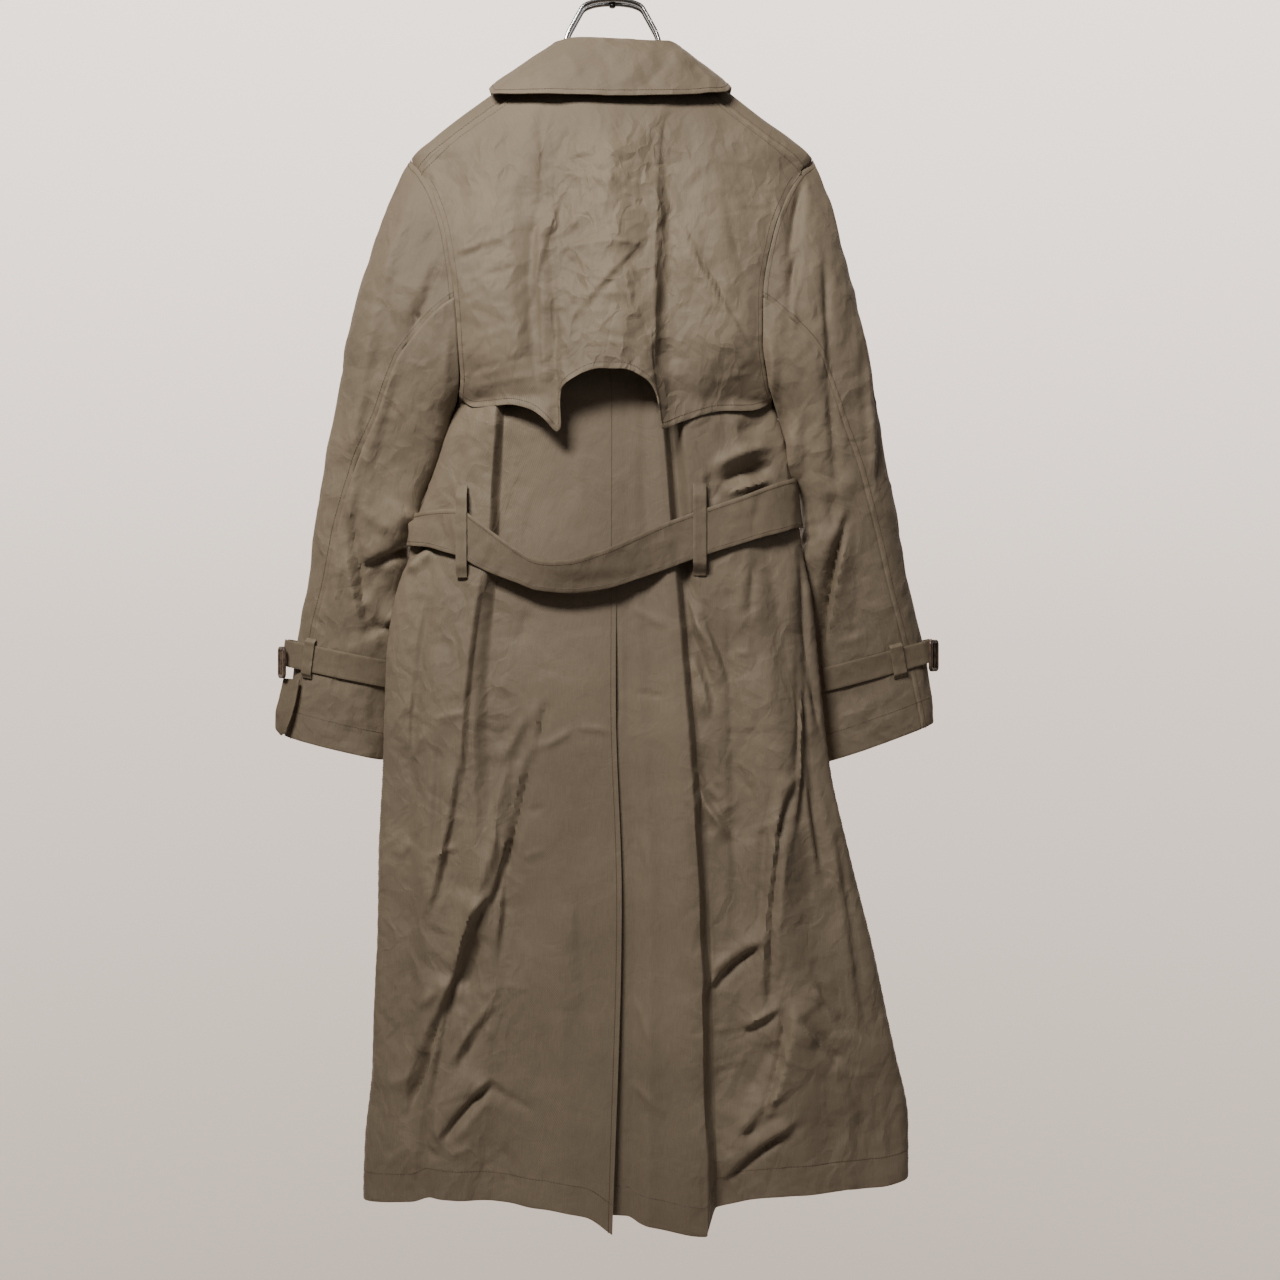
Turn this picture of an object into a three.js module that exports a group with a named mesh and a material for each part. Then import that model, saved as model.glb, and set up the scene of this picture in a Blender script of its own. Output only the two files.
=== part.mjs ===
// A long belted trench coat on a wire hanger that hangs from a wall hook.
// Millimetres, +Z up. The wall is the plane y = 0, the coat's back faces -y, and the origin is
// the middle of the wall plate's rear face. Every cloth piece is a closed wall of even thickness.

import * as THREE from "three";

// ---------------------------------------------------------------- driving sizes
const CLOTH_WALL = 1.6; // cloth, doubled where it is sewn
const SEAM_GAP = 0.3; // each panel stops this short of the seam line
const SEAM_DROP = 25; // the shoulder seam lies this far behind the ridge, measured down
const VENT_TOP = -784; // the centre back seam opens into the vent here
const VENT_LAP = 45; // the right back passes this far under the left one
const PATCH_LIFT = 2.2; // what lies on a panel is moved out by this much
const WIRE_RADIUS = 2.2; // hanger wire
const WIRE_FRONT_Y = -74;
const WIRE_REAR_Y = -84;
const HOOK_WIRE_RADIUS = 2.4;
const WALL_ROD_RADIUS = 4;
const PLATE = { width: 34, height: 64, thickness: 4 };
const BUTTON = { radius: 13, height: 4 };

// ---------------------------------------------------------------- materials
const finish = (color, roughness, metalness = 0) =>
  new THREE.MeshStandardMaterial({ color, roughness, metalness });
const MATERIALS = {
  cloth: finish(0x8a7a68, 0.85),
  belt: finish(0x7d6f5f, 0.85),
  buckle: finish(0x3a2e26, 0.5),
  button: finish(0x5a4638, 0.4),
  chrome: finish(0xc8cacc, 0.15, 1),
  boss: finish(0x3b3b3d, 0.4, 0.6),
  hook: finish(0xb8b8b6, 0.3, 1),
};

// ---------------------------------------------------------------- tables
// Body sections from the neck down. left and right are the edges: the shoulder ridge, then the
// armhole, then the side seam. sideBack and sideFront are the depths at those edges, midBack and
// midFront the depths at the middle, and the powers say how full the section is.
// z, left, right, sideBack, midBack, powerBack, sideFront, midFront, powerFront
const SECTIONS = [
  [-143, -81, 83, -80, -102, 0.6, -80, -62, 0.6],
  [-157, -101, 102, -80, -107, 0.6, -80, -56, 0.6],
  [-177, -129, 127, -80, -111, 0.6, -80, -50, 0.6],
  [-198, -158, 154, -80, -115, 0.6, -80, -45, 0.6],
  [-218, -183, 182, -80, -118, 0.6, -80, -40, 0.6],
  [-238, -204, 203, -80, -120, 0.6, -80, -36, 0.6],
  [-254, -193, 190, -91, -122, 0.8, -68, -33, 0.8],
  [-281, -178, 175, -102, -124, 1, -56, -29, 1],
  [-325, -164, 159, -114, -125, 1, -44, -25, 1],
  [-386, -155, 149, -119, -124, 1, -39, -22, 1],
  [-429, -152, 149, -115, -122, 1, -40, -20, 1],
  [-461, -151, 154, -104, -119, 1, -49, -19, 1],
  [-481, -154, 160, -91, -117, 1, -61, -19, 0.9],
  [-491, -159, 165, -78, -115, 0.6, -74, -19, 0.6],
  [-525, -172, 175, -75, -112, 0.35, -74, -20, 0.5],
  [-565, -186, 184, -74, -110, 0.35, -73, -20, 0.5],
  [-605, -199, 189, -74, -109, 0.35, -73, -20, 0.5],
  [-645, -208, 195, -74, -109, 0.35, -73, -20, 0.5],
  [-685, -221, 203, -74, -109, 0.35, -73, -20, 0.5],
  [-745, -230, 209, -75, -111, 0.35, -74, -20, 0.5],
  [-855, -233, 221, -76, -113, 0.35, -75, -18, 0.5],
  [-945, -237, 241, -77, -116, 0.35, -76, -15, 0.5],
  [-1045, -238, 264, -79, -120, 0.35, -78, -13, 0.5],
  [-1155, -242, 285, -81, -124, 0.35, -80, -11, 0.5],
  [-1235, -250, 299, -81, -127, 0.35, -80, -11, 0.5],
  [-1330, -252, 298, -81, -128, 0.35, -80, -11, 0.5],
];

// Folds of the back below the flap, from the left side seam to the right one. Each row follows
// one fold line down the coat: where it lies across at five heights, how far it stands proud
// there, and how many strips of cloth lead on to the next line. A blank line is a side seam.
const FOLD_HEIGHTS = [-480, -645, -784, -982, -1290];
const BACK_LEFT_FOLDS = [
  { line: "side seam", across: null, proud: [0, 0, 0, 0, 0], strips: 4 },
  { line: "side back seam", across: [-140, -186, -203, -207, -203], proud: [2, 2, -2, -4, -5], strips: 2 },
  { line: "side panel", across: [-128, -158, -172, -176, -160], proud: [6, 7, 7, 8, 9], strips: 2 },
  { line: "panel edge", across: [-116, -126, -142, -140, -110], proud: [9, 9, 8, 5, -4], strips: 2 },
  { line: "recess", across: [-105, -112, -120, -100, -70], proud: [-3, -4, -3, -2, 3], strips: 3 },
  { line: "middle", across: [-50, -52, -50, -42, -35], proud: [0, 0, 2, 3, 7], strips: 3 },
  { line: "centre back", across: [5, 4.5, 4, 10, 1], proud: [0, 0, 1, 4, 9], strips: 0 },
];
const BACK_RIGHT_FOLDS = [
  { line: "centre back", across: [5, 4.5, 4, 10, 1], proud: [0, 0, -4, -5, -5], strips: 3 },
  { line: "vent return", across: [11, 11, 12, 20, 14], proud: [0, 0, -2, -2, -3], strips: 1 },
  { line: "box", across: [28, 28, 32, 42, 40], proud: [1, 1, 2, 4, 7], strips: 2 },
  { line: "box edge", across: [46, 60, 71, 85, 93], proud: [5, 7, 9, 12, 16], strips: 2 },
  { line: "recess", across: [55, 70, 81, 96, 105], proud: [-8, -6, -5, -6, -6], strips: 2 },
  { line: "panel edge", across: [71, 85, 108, 116, 124], proud: [9, 3, -2, -4, -4], strips: 3 },
  { line: "side panel", across: [118, 128, 152, 165, 178], proud: [5, 5, 6, 7, 5], strips: 3 },
  { line: "side trough", across: [142, 162, 184, 205, 236], proud: [-2, -3, -4, -4, -6], strips: 4 },
  { line: "side seam", across: null, proud: [0, 0, 0, 0, 0], strips: 0 },
];
const SKIRT_ROWS = [-525, -565, -605, -645, -690, -740, -790, -840, -900, -970, -1050, -1130, -1210, -1290];
const BACK_ROWS = [1, 0.75, 0.5, 0.25, 0, -355, -400, -440, -465, -491, ...SKIRT_ROWS];
// 1 is the top edge and 0 is z = SHOULDER_ZONE_END; the rest are heights
const SHOULDER_ZONE_END = -320;
const HEM_ZONE_TOP = -900;
// across, height of the back hem
const BACK_HEM_LEFT = [
  [-252, -1288], [-199, -1284], [-178, -1275], [-90, -1281], [-26, -1289], [2, -1306],
];
const BACK_HEM_RIGHT = [
  [-60, -1290], [14, -1291], [28, -1296], [92, -1305], [104, -1284], [185, -1271], [267, -1271], [298, -1266],
];
const FRONT_HEM = [[-252, -1288], [-150, -1280], [20, -1276], [160, -1270], [298, -1266]];

// Storm flap over the shoulder blades, one row for each line down it: where it meets the hem,
// the height of the hem there, and how far it stands off the back at four heights and the hem.
const FLAP_HEIGHTS = [-253, -330, -400, -500];
// across at hem, hem height, stand-off at -253, -330, -400 and the hem
const FLAP_LINES = [
  [-151, -481, 2.6, 2.6, 2.6, 3.8],
  [-130, -492, 3, 4, 5, 8],
  [-104, -492, 4, 6, 9, 15],
  [-80, -498, 5, 7, 10, 20],
  [-66, -508, 6, 10, 14, 24],
  [-53, -521, 4, 6, 10, 22],
  [-48, -482, 3, 5, 12, 28],
  [-33, -470, 5, 9, 16, 31],
  [-11, -463, 8, 12, 19, 34],
  [9, -463, 8, 12, 19, 34],
  [27, -470, 7, 11, 17, 31],
  [41, -486, 8, 12, 16, 28],
  [47, -519, 9, 13, 17, 24],
  [66, -510, 3, 4, 6, 14],
  [102, -498, 4, 5, 6, 9],
  [132, -495, 3, 3, 4, 5],
  [156, -483, 2.6, 2.6, 2.6, 3.4],
];
const FLAP_ROWS = [0, 0.08, 0.2, 0.34, 0.48, 0.6, 0.7, 0.79, 0.86, 0.93, 1];

// Sleeve rings from the armhole to the cuff: outer point, inner point, depth of the middle, and
// how far the ring reaches behind and before it.
// outerX, outerZ, innerX, innerZ, middleY, back, front
const SLEEVE_LEFT = [
  [-204.6, -238, -159.5, -491.5, -80, 42, 42],
  [-213, -252, -161, -495, -80, 42, 42],
  [-227, -279, -163, -499, -80, 42, 42],
  [-238, -311, -166, -505, -79, 42, 41],
  [-247, -341, -170, -513, -77, 41, 40],
  [-257, -371, -175, -522, -75, 40, 39],
  [-266, -404, -180, -535, -72, 39, 38],
  [-275, -444, -187, -551, -68, 37, 36],
  [-284, -491, -199, -573, -63, 35, 33],
  [-294, -543, -209, -601, -58, 33, 31],
  [-305, -601, -217, -636, -52, 31, 29],
  [-315, -663, -222, -682, -46, 29, 27],
  [-325, -706, -225, -725, -42, 27, 25],
  [-333, -751, -230, -770, -39, 24, 23],
  [-339, -793, -234, -816, -37, 25, 23],
  [-344, -824, -240, -850, -36, 24, 22],
];
const SLEEVE_RIGHT = [
  [203.6, -238, 165.5, -491.5, -80, 42, 42],
  [211, -254, 166, -494, -80, 42, 42],
  [221, -281, 168, -499, -80, 42, 42],
  [229, -311, 171, -505, -79, 42, 41],
  [237, -341, 175, -513, -77, 41, 40],
  [245, -371, 179, -522, -75, 40, 39],
  [253, -404, 183, -535, -72, 39, 38],
  [262, -444, 190, -553, -68, 37, 36],
  [271, -491, 197, -576, -63, 35, 33],
  [281, -543, 203, -604, -58, 33, 31],
  [293, -601, 206, -639, -52, 31, 29],
  [306, -663, 206, -690, -46, 29, 27],
  [316, -704, 206, -735, -42, 27, 25],
  [325, -741, 208, -777, -39, 24, 23],
  [332, -779, 213, -817, -37, 25, 23],
  [336, -811, 219, -853, -36, 24, 22],
];
// ring number, angle of the back seam, angle of the front seam, degrees from the outer edge
const SLEEVE_SEAMS = [[0, 100, 214], [7, 88, 226], [9, 74, 230], [12, 54, 232], [15, 44, 234]];

// Collar: for each station round the neck, the fold line at the top, the free edge of the fall,
// and the neck seam.
// foldX, foldZ, foldY, edgeX, edgeZ, edgeY, neckX, neckZ, neckY
const COLLAR = [
  [-54, -167, -40, -90, -203, -31, -62, -172, -46],
  [-62, -143, -50, -112, -184, -42, -70, -157, -54],
  [-65, -129, -66, -122, -172, -58, -78, -147, -67],
  [-63, -125, -85, -125, -167.5, -84, -80.2, -144.2, -84],
  [-46, -124, -103, -119, -182, -109, -62, -158, -99],
  [-22, -126, -111, -56, -188, -126, -32, -166, -106],
  [6, -128, -113, 1, -191, -129, 3, -167, -107],
  [36, -129, -111, 62, -189, -126, 36, -166, -106],
  [59, -127, -103, 114, -179, -109, 64, -158, -99],
  [73, -129, -85, 121, -166.5, -84, 82.2, -144.2, -84],
  [76, -133, -66, 119, -172, -58, 80, -147, -67],
  [72, -147, -50, 110, -185, -42, 72, -157, -54],
  [64, -169, -40, 92, -204, -31, 64, -172, -46],
];

// Front edges below the shoulder: how far across the edge lies, its height, and the height of the
// same row at the armhole or side seam. The first rows follow the lapel's roll line.
const FRONT_LEFT_EDGE = [
  [-63, -175, -281], [-34, -217, -325], [2, -274, -386], [38, -326, -429], [70, -378, -461],
  [72, -425, -481], [72, -466, -491],
];
const FRONT_RIGHT_EDGE = [
  [66, -175, -281], [44, -217, -325], [7, -274, -386], [-29, -326, -429], [-58, -378, -461],
  [-60, -425, -481], [-60, -466, -491],
];
const UNDER_FRONT = 6.5; // the left front lies this far inside the right one where they overlap

// Belt stations round the body: across, top, bottom, stand-off of each edge from the section.
const BELT_BACK = [
  [-230, -597, -629, 5, 5], [-199, -597, -630, 8.5, 8.5], [-182, -596, -632, 10, 10],
  [-165, -595, -637, 12, 12],
  [-149, -595, -642, 13, 13], [-132, -606, -652, 13.5, 13], [-115, -619, -660, 14, 13],
  [-94, -634, -668, 18, 15], [-73, -646, -676, 23, 17], [-57, -648, -678, 26, 18],
  [-40, -647, -679, 27, 18], [-7, -637, -675, 25, 17], [28, -621, -664, 18, 14],
  [56, -608, -654, 13, 12.5], [77, -600, -646, 12, 12], [100, -592, -638, 11.5, 11.5],
  [128, -582, -629, 11, 11], [150, -573, -622, 10, 10], [168, -566, -617, 9, 9],
  [180, -562, -613, 7, 7], [230, -561, -611, 4.5, 4.5],
];
const BELT_FRONT = [
  [180, -562, -609, 5.5, 5.5], [165, -563, -608, 6, 6],
  [120, -565, -609, 6, 6], [60, -569, -612, 6, 6],
];
const BELT_OVER = [[8, -573, -616, 9, 9], [-50, -577, -620, 9, 9], [-110, -582, -624, 9, 9]];
const BELT_UNDER = [
  [30, -571, -614, 5.5, 5.5], [-40, -577, -620, 5.5, 5.5], [-110, -583, -625, 5.5, 5.5],
  [-160, -589, -629, 6, 6], [-184, -594, -629, 7, 7], [-198, -596, -629, 7, 7],
];
const BELT_LOOPS = [
  { side: "left", x: -149, width: 11, top: -571, bottom: -663, over: 2.7 },
  { side: "right", x: 87, width: 13, top: -570, bottom: -661, over: 2.2 },
];

// Cuff straps: the sleeve ring numbers of the top and bottom edge at the outer and inner side, how
// loose the strap stands at its buckle, the angles of the keeper and the buckle, and how far clear of
// the strap the buckle's middle is and how far it sags.
const CUFF_STRAPS = [
  {
    side: "left", outer: [12.45, 13.05], inner: [12.5, 13.1],
    loose: 10, keeper: 52, buckle: 16, clear: 2.6, sag: 10,
  },
  {
    side: "right", outer: [12.6, 13.2], inner: [12.5, 13.1],
    loose: 8, keeper: 63, buckle: 16, clear: 1.6, sag: 6,
  },
];
// Loose end of the left cuff strap: outer edge across, inner edge across, outer and inner depth,
// outer and inner height.
const STRAP_END = [
  [-341, -322, -52, -63, -764.5, -765.5], [-345, -325, -53, -63.5, -783, -783], [-349, -329, -54, -63.5, -802, -800],
  [-349, -333, -54, -62.5, -815, -811], [-343, -337, -55, -61, -824, -820],
];
const CUFF_BUCKLE = { width: 19, height: 33, bar: 4, thickness: 3.5 };
const BELT_BUCKLE = { width: 58, height: 62, bar: 7, thickness: 3.6 };

// Hanger wire from the middle of the neck arch to the shoulder end, right half.
// across, height
const WIRE_RUN = [
  [0, -77.6], [12, -78.2], [22, -80.2], [29.5, -84], [34, -91], [39, -100], [44.5, -110.5], [48, -121],
  [52, -131], [60, -142], [73, -152], [87, -161], [102, -171], [127, -188.5], [154, -209.5], [176, -227],
  [186, -235.5],
];
const BUTTONS = [[-34, -440], [58, -440], [-34, -515], [58, -515], [-34, -700], [58, -700]];

// ---------------------------------------------------------------- tools
const mix = (a, b, t) => a + (b - a) * t;
const clamp = (t, low = 0, high = 1) => Math.min(high, Math.max(low, t));
const smooth = (a, b, value) => {
  const t = clamp((value - a) / (b - a));
  return t * t * (3 - 2 * t);
};

// One row of a table at a key between its rows. The key column may rise or fall.
function rowAt(table, key, keyColumn = 0) {
  const rising = table[table.length - 1][keyColumn] > table[0][keyColumn];
  let k = 0;
  while (k < table.length - 2 && (rising ? key > table[k + 1][keyColumn] : key < table[k + 1][keyColumn])) {
    k += 1;
  }
  const low = table[k];
  const high = table[k + 1];
  const t = clamp((key - low[keyColumn]) / (high[keyColumn] - low[keyColumn]));
  return low.map((value, column) => mix(value, high[column], t));
}

// A list of values at a fractional index.
function listAt(list, index) {
  const k = Math.min(Math.floor(index), list.length - 2);
  return list[k].map((value, column) => mix(value, list[k + 1][column], index - k));
}

// A closed body from a grid of outer points and the inner grid under it.
function closedGrid(outer, inner) {
  const rows = outer.length;
  const columns = outer[0].length;
  const positions = [];
  const index = [];
  for (const grid of [outer, inner]) {
    for (const row of grid) {
      for (const p of row) positions.push(p.x, p.y, p.z);
    }
  }
  const at = (layer, r, c) => layer * rows * columns + r * columns + c;
  const quad = (a, b, c, d) => index.push(a, b, c, a, c, d);
  for (let r = 0; r < rows - 1; r += 1) {
    for (let c = 0; c < columns - 1; c += 1) {
      quad(at(0, r, c), at(0, r, c + 1), at(0, r + 1, c + 1), at(0, r + 1, c));
      index.push(at(1, r, c), at(1, r + 1, c + 1), at(1, r, c + 1));
      index.push(at(1, r, c), at(1, r + 1, c), at(1, r + 1, c + 1));
    }
  }
  for (let c = 0; c < columns - 1; c += 1) {
    quad(at(0, 0, c + 1), at(0, 0, c), at(1, 0, c), at(1, 0, c + 1));
    quad(at(0, rows - 1, c), at(0, rows - 1, c + 1), at(1, rows - 1, c + 1), at(1, rows - 1, c));
  }
  for (let r = 0; r < rows - 1; r += 1) {
    quad(at(0, r, 0), at(0, r + 1, 0), at(1, r + 1, 0), at(1, r, 0));
    quad(at(0, r + 1, columns - 1), at(0, r, columns - 1), at(1, r, columns - 1), at(1, r + 1, columns - 1));
  }
  return outwardGeometry(positions, index);
}

// Turns the faces outward if the signed volume says they point in.
function outwardGeometry(positions, index) {
  let volume = 0;
  const p = (i) => new THREE.Vector3(positions[3 * i], positions[3 * i + 1], positions[3 * i + 2]);
  for (let k = 0; k < index.length; k += 3) {
    volume += p(index[k]).dot(p(index[k + 1]).cross(p(index[k + 2])));
  }
  if (volume < 0) {
    for (let k = 0; k < index.length; k += 3) {
      [index[k], index[k + 1]] = [index[k + 1], index[k]];
    }
  }
  const geometry = new THREE.BufferGeometry();
  geometry.setAttribute("position", new THREE.Float32BufferAttribute(positions, 3));
  geometry.setIndex(index);
  geometry.computeVertexNormals();
  return geometry;
}

// Cloth over a surface point(u, v), given at lists of u and v. The wall goes to the inside, which
// is the side away from +n when flip is 1. Edges named in trim stop short of the seam.
function cloth(us, vs, point, { flip = 1, trim = "lrtb", goesOn = false } = {}) {
  const du = (us[us.length - 1] - us[0]) * 1e-3;
  const dv = (vs[vs.length - 1] - vs[0]) * 1e-3;
  const [u0, u1, v0, v1] = [us[0], us[us.length - 1], vs[0], vs[vs.length - 1]];
  const within = (value, a, b) => clamp(value, Math.min(a, b), Math.max(a, b));
  const across = (value) => (goesOn ? value : within(value, u0, u1));
  const outer = vs.map((v) => us.map((u) => point(u, v)));
  const normals = vs.map((v) => us.map((u) => {
    const along = point(across(u + du), v).sub(point(across(u - du), v));
    const down = point(u, within(v + dv, v0, v1)).sub(point(u, within(v - dv, v0, v1)));
    return along.cross(down).normalize().multiplyScalar(flip);
  }));
  const pull = (from, to) => {
    const step = to.clone().sub(from);
    return from.clone().add(step.setLength(Math.min(SEAM_GAP, step.length() / 3)));
  };
  const last = us.length - 1;
  const bottom = vs.length - 1;
  if (trim.includes("l")) outer.forEach((row) => { row[0] = pull(row[0], row[1]); });
  if (trim.includes("r")) outer.forEach((row) => { row[last] = pull(row[last], row[last - 1]); });
  if (trim.includes("t")) outer[0] = outer[0].map((p, c) => pull(p, outer[1][c]));
  if (trim.includes("b")) outer[bottom] = outer[bottom].map((p, c) => pull(p, outer[bottom - 1][c]));
  const inner = outer.map((row, r) =>
    row.map((p, c) => p.clone().addScaledVector(normals[r][c], -CLOTH_WALL)),
  );
  return closedGrid(outer, inner);
}

// A round bar along points. A closed one has no ends.
function bar(points, radius, steps, sides = 8, closed = false) {
  const curve = new THREE.CatmullRomCurve3(points, closed, "centripetal");
  const frames = curve.computeFrenetFrames(steps, closed);
  const positions = [];
  const index = [];
  const rings = closed ? steps : steps + 1;
  for (let k = 0; k < rings; k += 1) {
    const centre = curve.getPointAt(k / steps);
    for (let s = 0; s < sides; s += 1) {
      const angle = (2 * Math.PI * s) / sides;
      const p = centre.clone();
      p.addScaledVector(frames.normals[k], radius * Math.cos(angle));
      p.addScaledVector(frames.binormals[k], radius * Math.sin(angle));
      positions.push(p.x, p.y, p.z);
    }
  }
  const at = (k, s) => (k % rings) * sides + (s % sides);
  for (let k = 0; k < (closed ? rings : rings - 1); k += 1) {
    for (let s = 0; s < sides; s += 1) {
      index.push(at(k, s), at(k, s + 1), at(k + 1, s + 1), at(k, s), at(k + 1, s + 1), at(k + 1, s));
    }
  }
  if (!closed) {
    for (let s = 1; s < sides - 1; s += 1) {
      index.push(at(0, 0), at(0, s + 1), at(0, s));
      index.push(at(rings - 1, 0), at(rings - 1, s), at(rings - 1, s + 1));
    }
  }
  return outwardGeometry(positions, index);
}

// A flat frame with rounded corners and one cross bar.
function buckleFrame({ width, height, bar: rim, thickness }) {
  const shape = new THREE.Shape();
  const w = width / 2;
  const h = height / 2;
  const c = rim * 0.8;
  shape.moveTo(-w + c, -h).lineTo(w - c, -h).lineTo(w, -h + c).lineTo(w, h - c);
  shape.lineTo(w - c, h).lineTo(-w + c, h).lineTo(-w, h - c).lineTo(-w, -h + c);
  for (const [a, b, top] of [[-w + rim, -rim / 2, h - rim], [rim / 2, w - rim, h - rim - 0.6]]) {
    const hole = new THREE.Path();
    hole.moveTo(a, -top).lineTo(a, top).lineTo(b, top).lineTo(b, -top);
    shape.holes.push(hole);
  }
  const geometry = new THREE.ExtrudeGeometry(shape, { depth: thickness, bevelEnabled: false });
  geometry.translate(0, 0, -thickness / 2);
  return geometry;
}

// ---------------------------------------------------------------- the body's surface
function section(z) {
  const [, left, right, sideBack, midBack, powerBack, sideFront, midFront, powerFront] = rowAt(SECTIONS, z);
  const half = (right - left) / 2;
  const middle = (left + right) / 2;
  return { left, right, middle, half, sideBack, midBack, powerBack, sideFront, midFront, powerFront };
}
function backY(x, z) {
  const s = section(z);
  const across = clamp((x - s.middle) / s.half, -1, 1);
  return mix(s.sideBack, s.midBack, (1 - across * across) ** s.powerBack);
}
function frontY(x, z) {
  const s = section(z);
  const across = clamp((x - s.middle) / s.half, -1, 1);
  const soft = 2.2 * Math.sin(x / 21 + z / 160) * smooth(-520, -760, z) * (1 - across ** 4);
  return mix(s.sideFront, s.midFront, (1 - across * across) ** s.powerFront) + soft;
}
// The height of the shoulder ridge at a distance across.
function ridgeZ(x) {
  const shoulder = SECTIONS.slice(0, 6);
  return rowAt(shoulder, x, x < 0 ? 1 : 2)[0];
}

// ---------------------------------------------------------------- back panels
// Where a fold line lies and how proud it stands at a height. Above the first height the line
// keeps its share of the half width.
function foldLine(fold, edge, z) {
  const heights = FOLD_HEIGHTS.map((height, k) => [height, fold.across ? fold.across[k] : 0, fold.proud[k]]);
  const [, x, proud] = rowAt(heights, clamp(z, -1290, -480));
  const s = section(z);
  if (!fold.across) return { x: edge < 0 ? s.left : s.right, proud };
  if (z <= FOLD_HEIGHTS[0]) return { x, proud };
  const start = section(FOLD_HEIGHTS[0]);
  return { x: s.middle + (s.half * (x - start.middle)) / start.half, proud: proud * smooth(-400, -480, z) };
}

// A back panel's grid runs over its fold lines: u counts strips, v counts rows.
function backPanel(folds, edge, hem, underlap) {
  const us = [];
  folds.forEach((fold, k) => {
    for (let step = 0; step < Math.max(fold.strips, 1); step += 1) {
      if (k < folds.length - 1) us.push(k + step / fold.strips);
    }
  });
  us.push(folds.length - 1);
  const vs = BACK_ROWS.map((_, k) => k);
  const point = (u, v) => {
    const keys = BACK_ROWS.map((value) => [
      value > 0 ? mix(SHOULDER_ZONE_END, -253, value) : value || SHOULDER_ZONE_END,
    ]);
    const key = listAt(keys, v)[0];
    const share = clamp((key - SHOULDER_ZONE_END) / (-253 - SHOULDER_ZONE_END));
    const k = Math.min(Math.floor(u), folds.length - 2);
    const a = foldLine(folds[k], edge, key);
    const b = foldLine(folds[k + 1], edge, key);
    const s = section(key);
    const angle = (x) => Math.acos(clamp((s.middle - x) / s.half, -1, 1));
    const lap = underlap ? underlap(key) : 0;
    const ax = a.x - (k === 0 ? lap : 0);
    const phi = mix(angle(ax), angle(b.x), u - k);
    const x = s.middle - s.half * Math.cos(phi);
    const ease = smooth(0, 1, u - k);
    const top = Math.min(-168, ridgeZ(x) - SEAM_DROP - 1.2);
    const drop = rowAt(hem, x)[1] - (-1290);
    const height = key + share * (top + 253);
    const z = height + drop * smooth(HEM_ZONE_TOP, -1290, key);
    const proud = Math.min(mix(a.proud, b.proud, ease), Math.max(-1.5, flapRoom(x, z)));
    return new THREE.Vector3(x, backY(x, height) - proud, z);
  };
  return cloth(us, vs, point, { flip: -1, trim: "lrt" });
}
// How far the back may stand proud under the flap.
function flapRoom(x, z) {
  const s = section(z);
  const base = section(-461);
  const across = base.middle + (base.half * (x - s.middle)) / s.half;
  const [, hemZ, ...standOff] = rowAt(FLAP_LINES, across);
  if (z < hemZ - 6) return Infinity;
  return rowAt(FLAP_HEIGHTS.map((height, k) => [k === 3 ? hemZ : height, standOff[k]]), z)[1] - 4;
}
const ventLap = (z) => VENT_LAP * smooth(VENT_TOP - 8, VENT_TOP - 60, z);

// ---------------------------------------------------------------- storm flap
function flapPoint(u, v) {
  const [acrossHem, hemZ, ...standOff] = listAt(FLAP_LINES, u);
  const base = section(-461);
  const s = section(mix(-253, -484, v));
  const share = clamp((acrossHem - base.middle) / base.half, -1, 1);
  const x = s.middle + s.half * share;
  const top = Math.min(-168, ridgeZ(x) - SEAM_DROP - 0.6);
  const z = mix(top, hemZ, v);
  const heights = FLAP_HEIGHTS.map((height, k) => [k === 3 ? hemZ : height, standOff[k]]);
  const stand = mix(PATCH_LIFT + 0.6, rowAt(heights, z)[1], smooth(top, -253, z));
  return new THREE.Vector3(x, backY(x, z) - stand, z);
}
const flapColumns = FLAP_LINES.flatMap((_, k) => (k < FLAP_LINES.length - 1 ? [k, k + 0.5] : [k]));

// ---------------------------------------------------------------- fronts
// v below 4 goes over the shoulder: 0 is the seam on the back, 2 the ridge, 4 the front side.
// Then come the rows of the roll line and the rows below.
function frontPoint(side, u, v) {
  const edge = side < 0 ? FRONT_LEFT_EDGE : FRONT_RIGHT_EDGE;
  if (v <= 4) {
    const k = v / 2 - 1;
    const neck = side * (side < 0 ? 81 : 83) - side * 6 * k * k;
    const tipSection = section(-238 - 15 * k * k);
    const tip = side < 0 ? tipSection.left : tipSection.right;
    const x = mix(neck, tip, u);
    const z = ridgeZ(x) - SEAM_DROP * k * k;
    return new THREE.Vector3(x, k < 0 ? backY(x, z) : frontY(x, z), z);
  }
  const start = [side * (side < 0 ? 75 : 77), ridgeZ(side * 76) - SEAM_DROP, -253];
  const rows = [start, ...edge, ...SKIRT_ROWS.map((z) => [edge[6][0], z, z])];
  const [edgeX, edgeZ, sideZ] = listAt(rows, v - 4);
  const s = section(sideZ);
  const outerX = side < 0 ? s.left : s.right;
  const from = Math.acos(clamp((s.middle - edgeX) / s.half, -1, 1));
  const to = side < 0 ? 0 : Math.PI;
  const ring = s.middle - s.half * Math.cos(mix(from, to, u));
  const x = v < 9 ? mix(edgeX, outerX, u) : mix(mix(edgeX, outerX, u), ring, clamp(v - 9));
  const height = mix(edgeZ, sideZ, u);
  const z = height + (rowAt(FRONT_HEM, x)[1] + 1290) * smooth(HEM_ZONE_TOP, -1290, height);
  const under = side < 0 ? UNDER_FRONT * smooth(-104, -70, x) * smooth(-185, -240, z) : 0;
  return new THREE.Vector3(x, frontY(x, height) - under, z);
}
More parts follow.
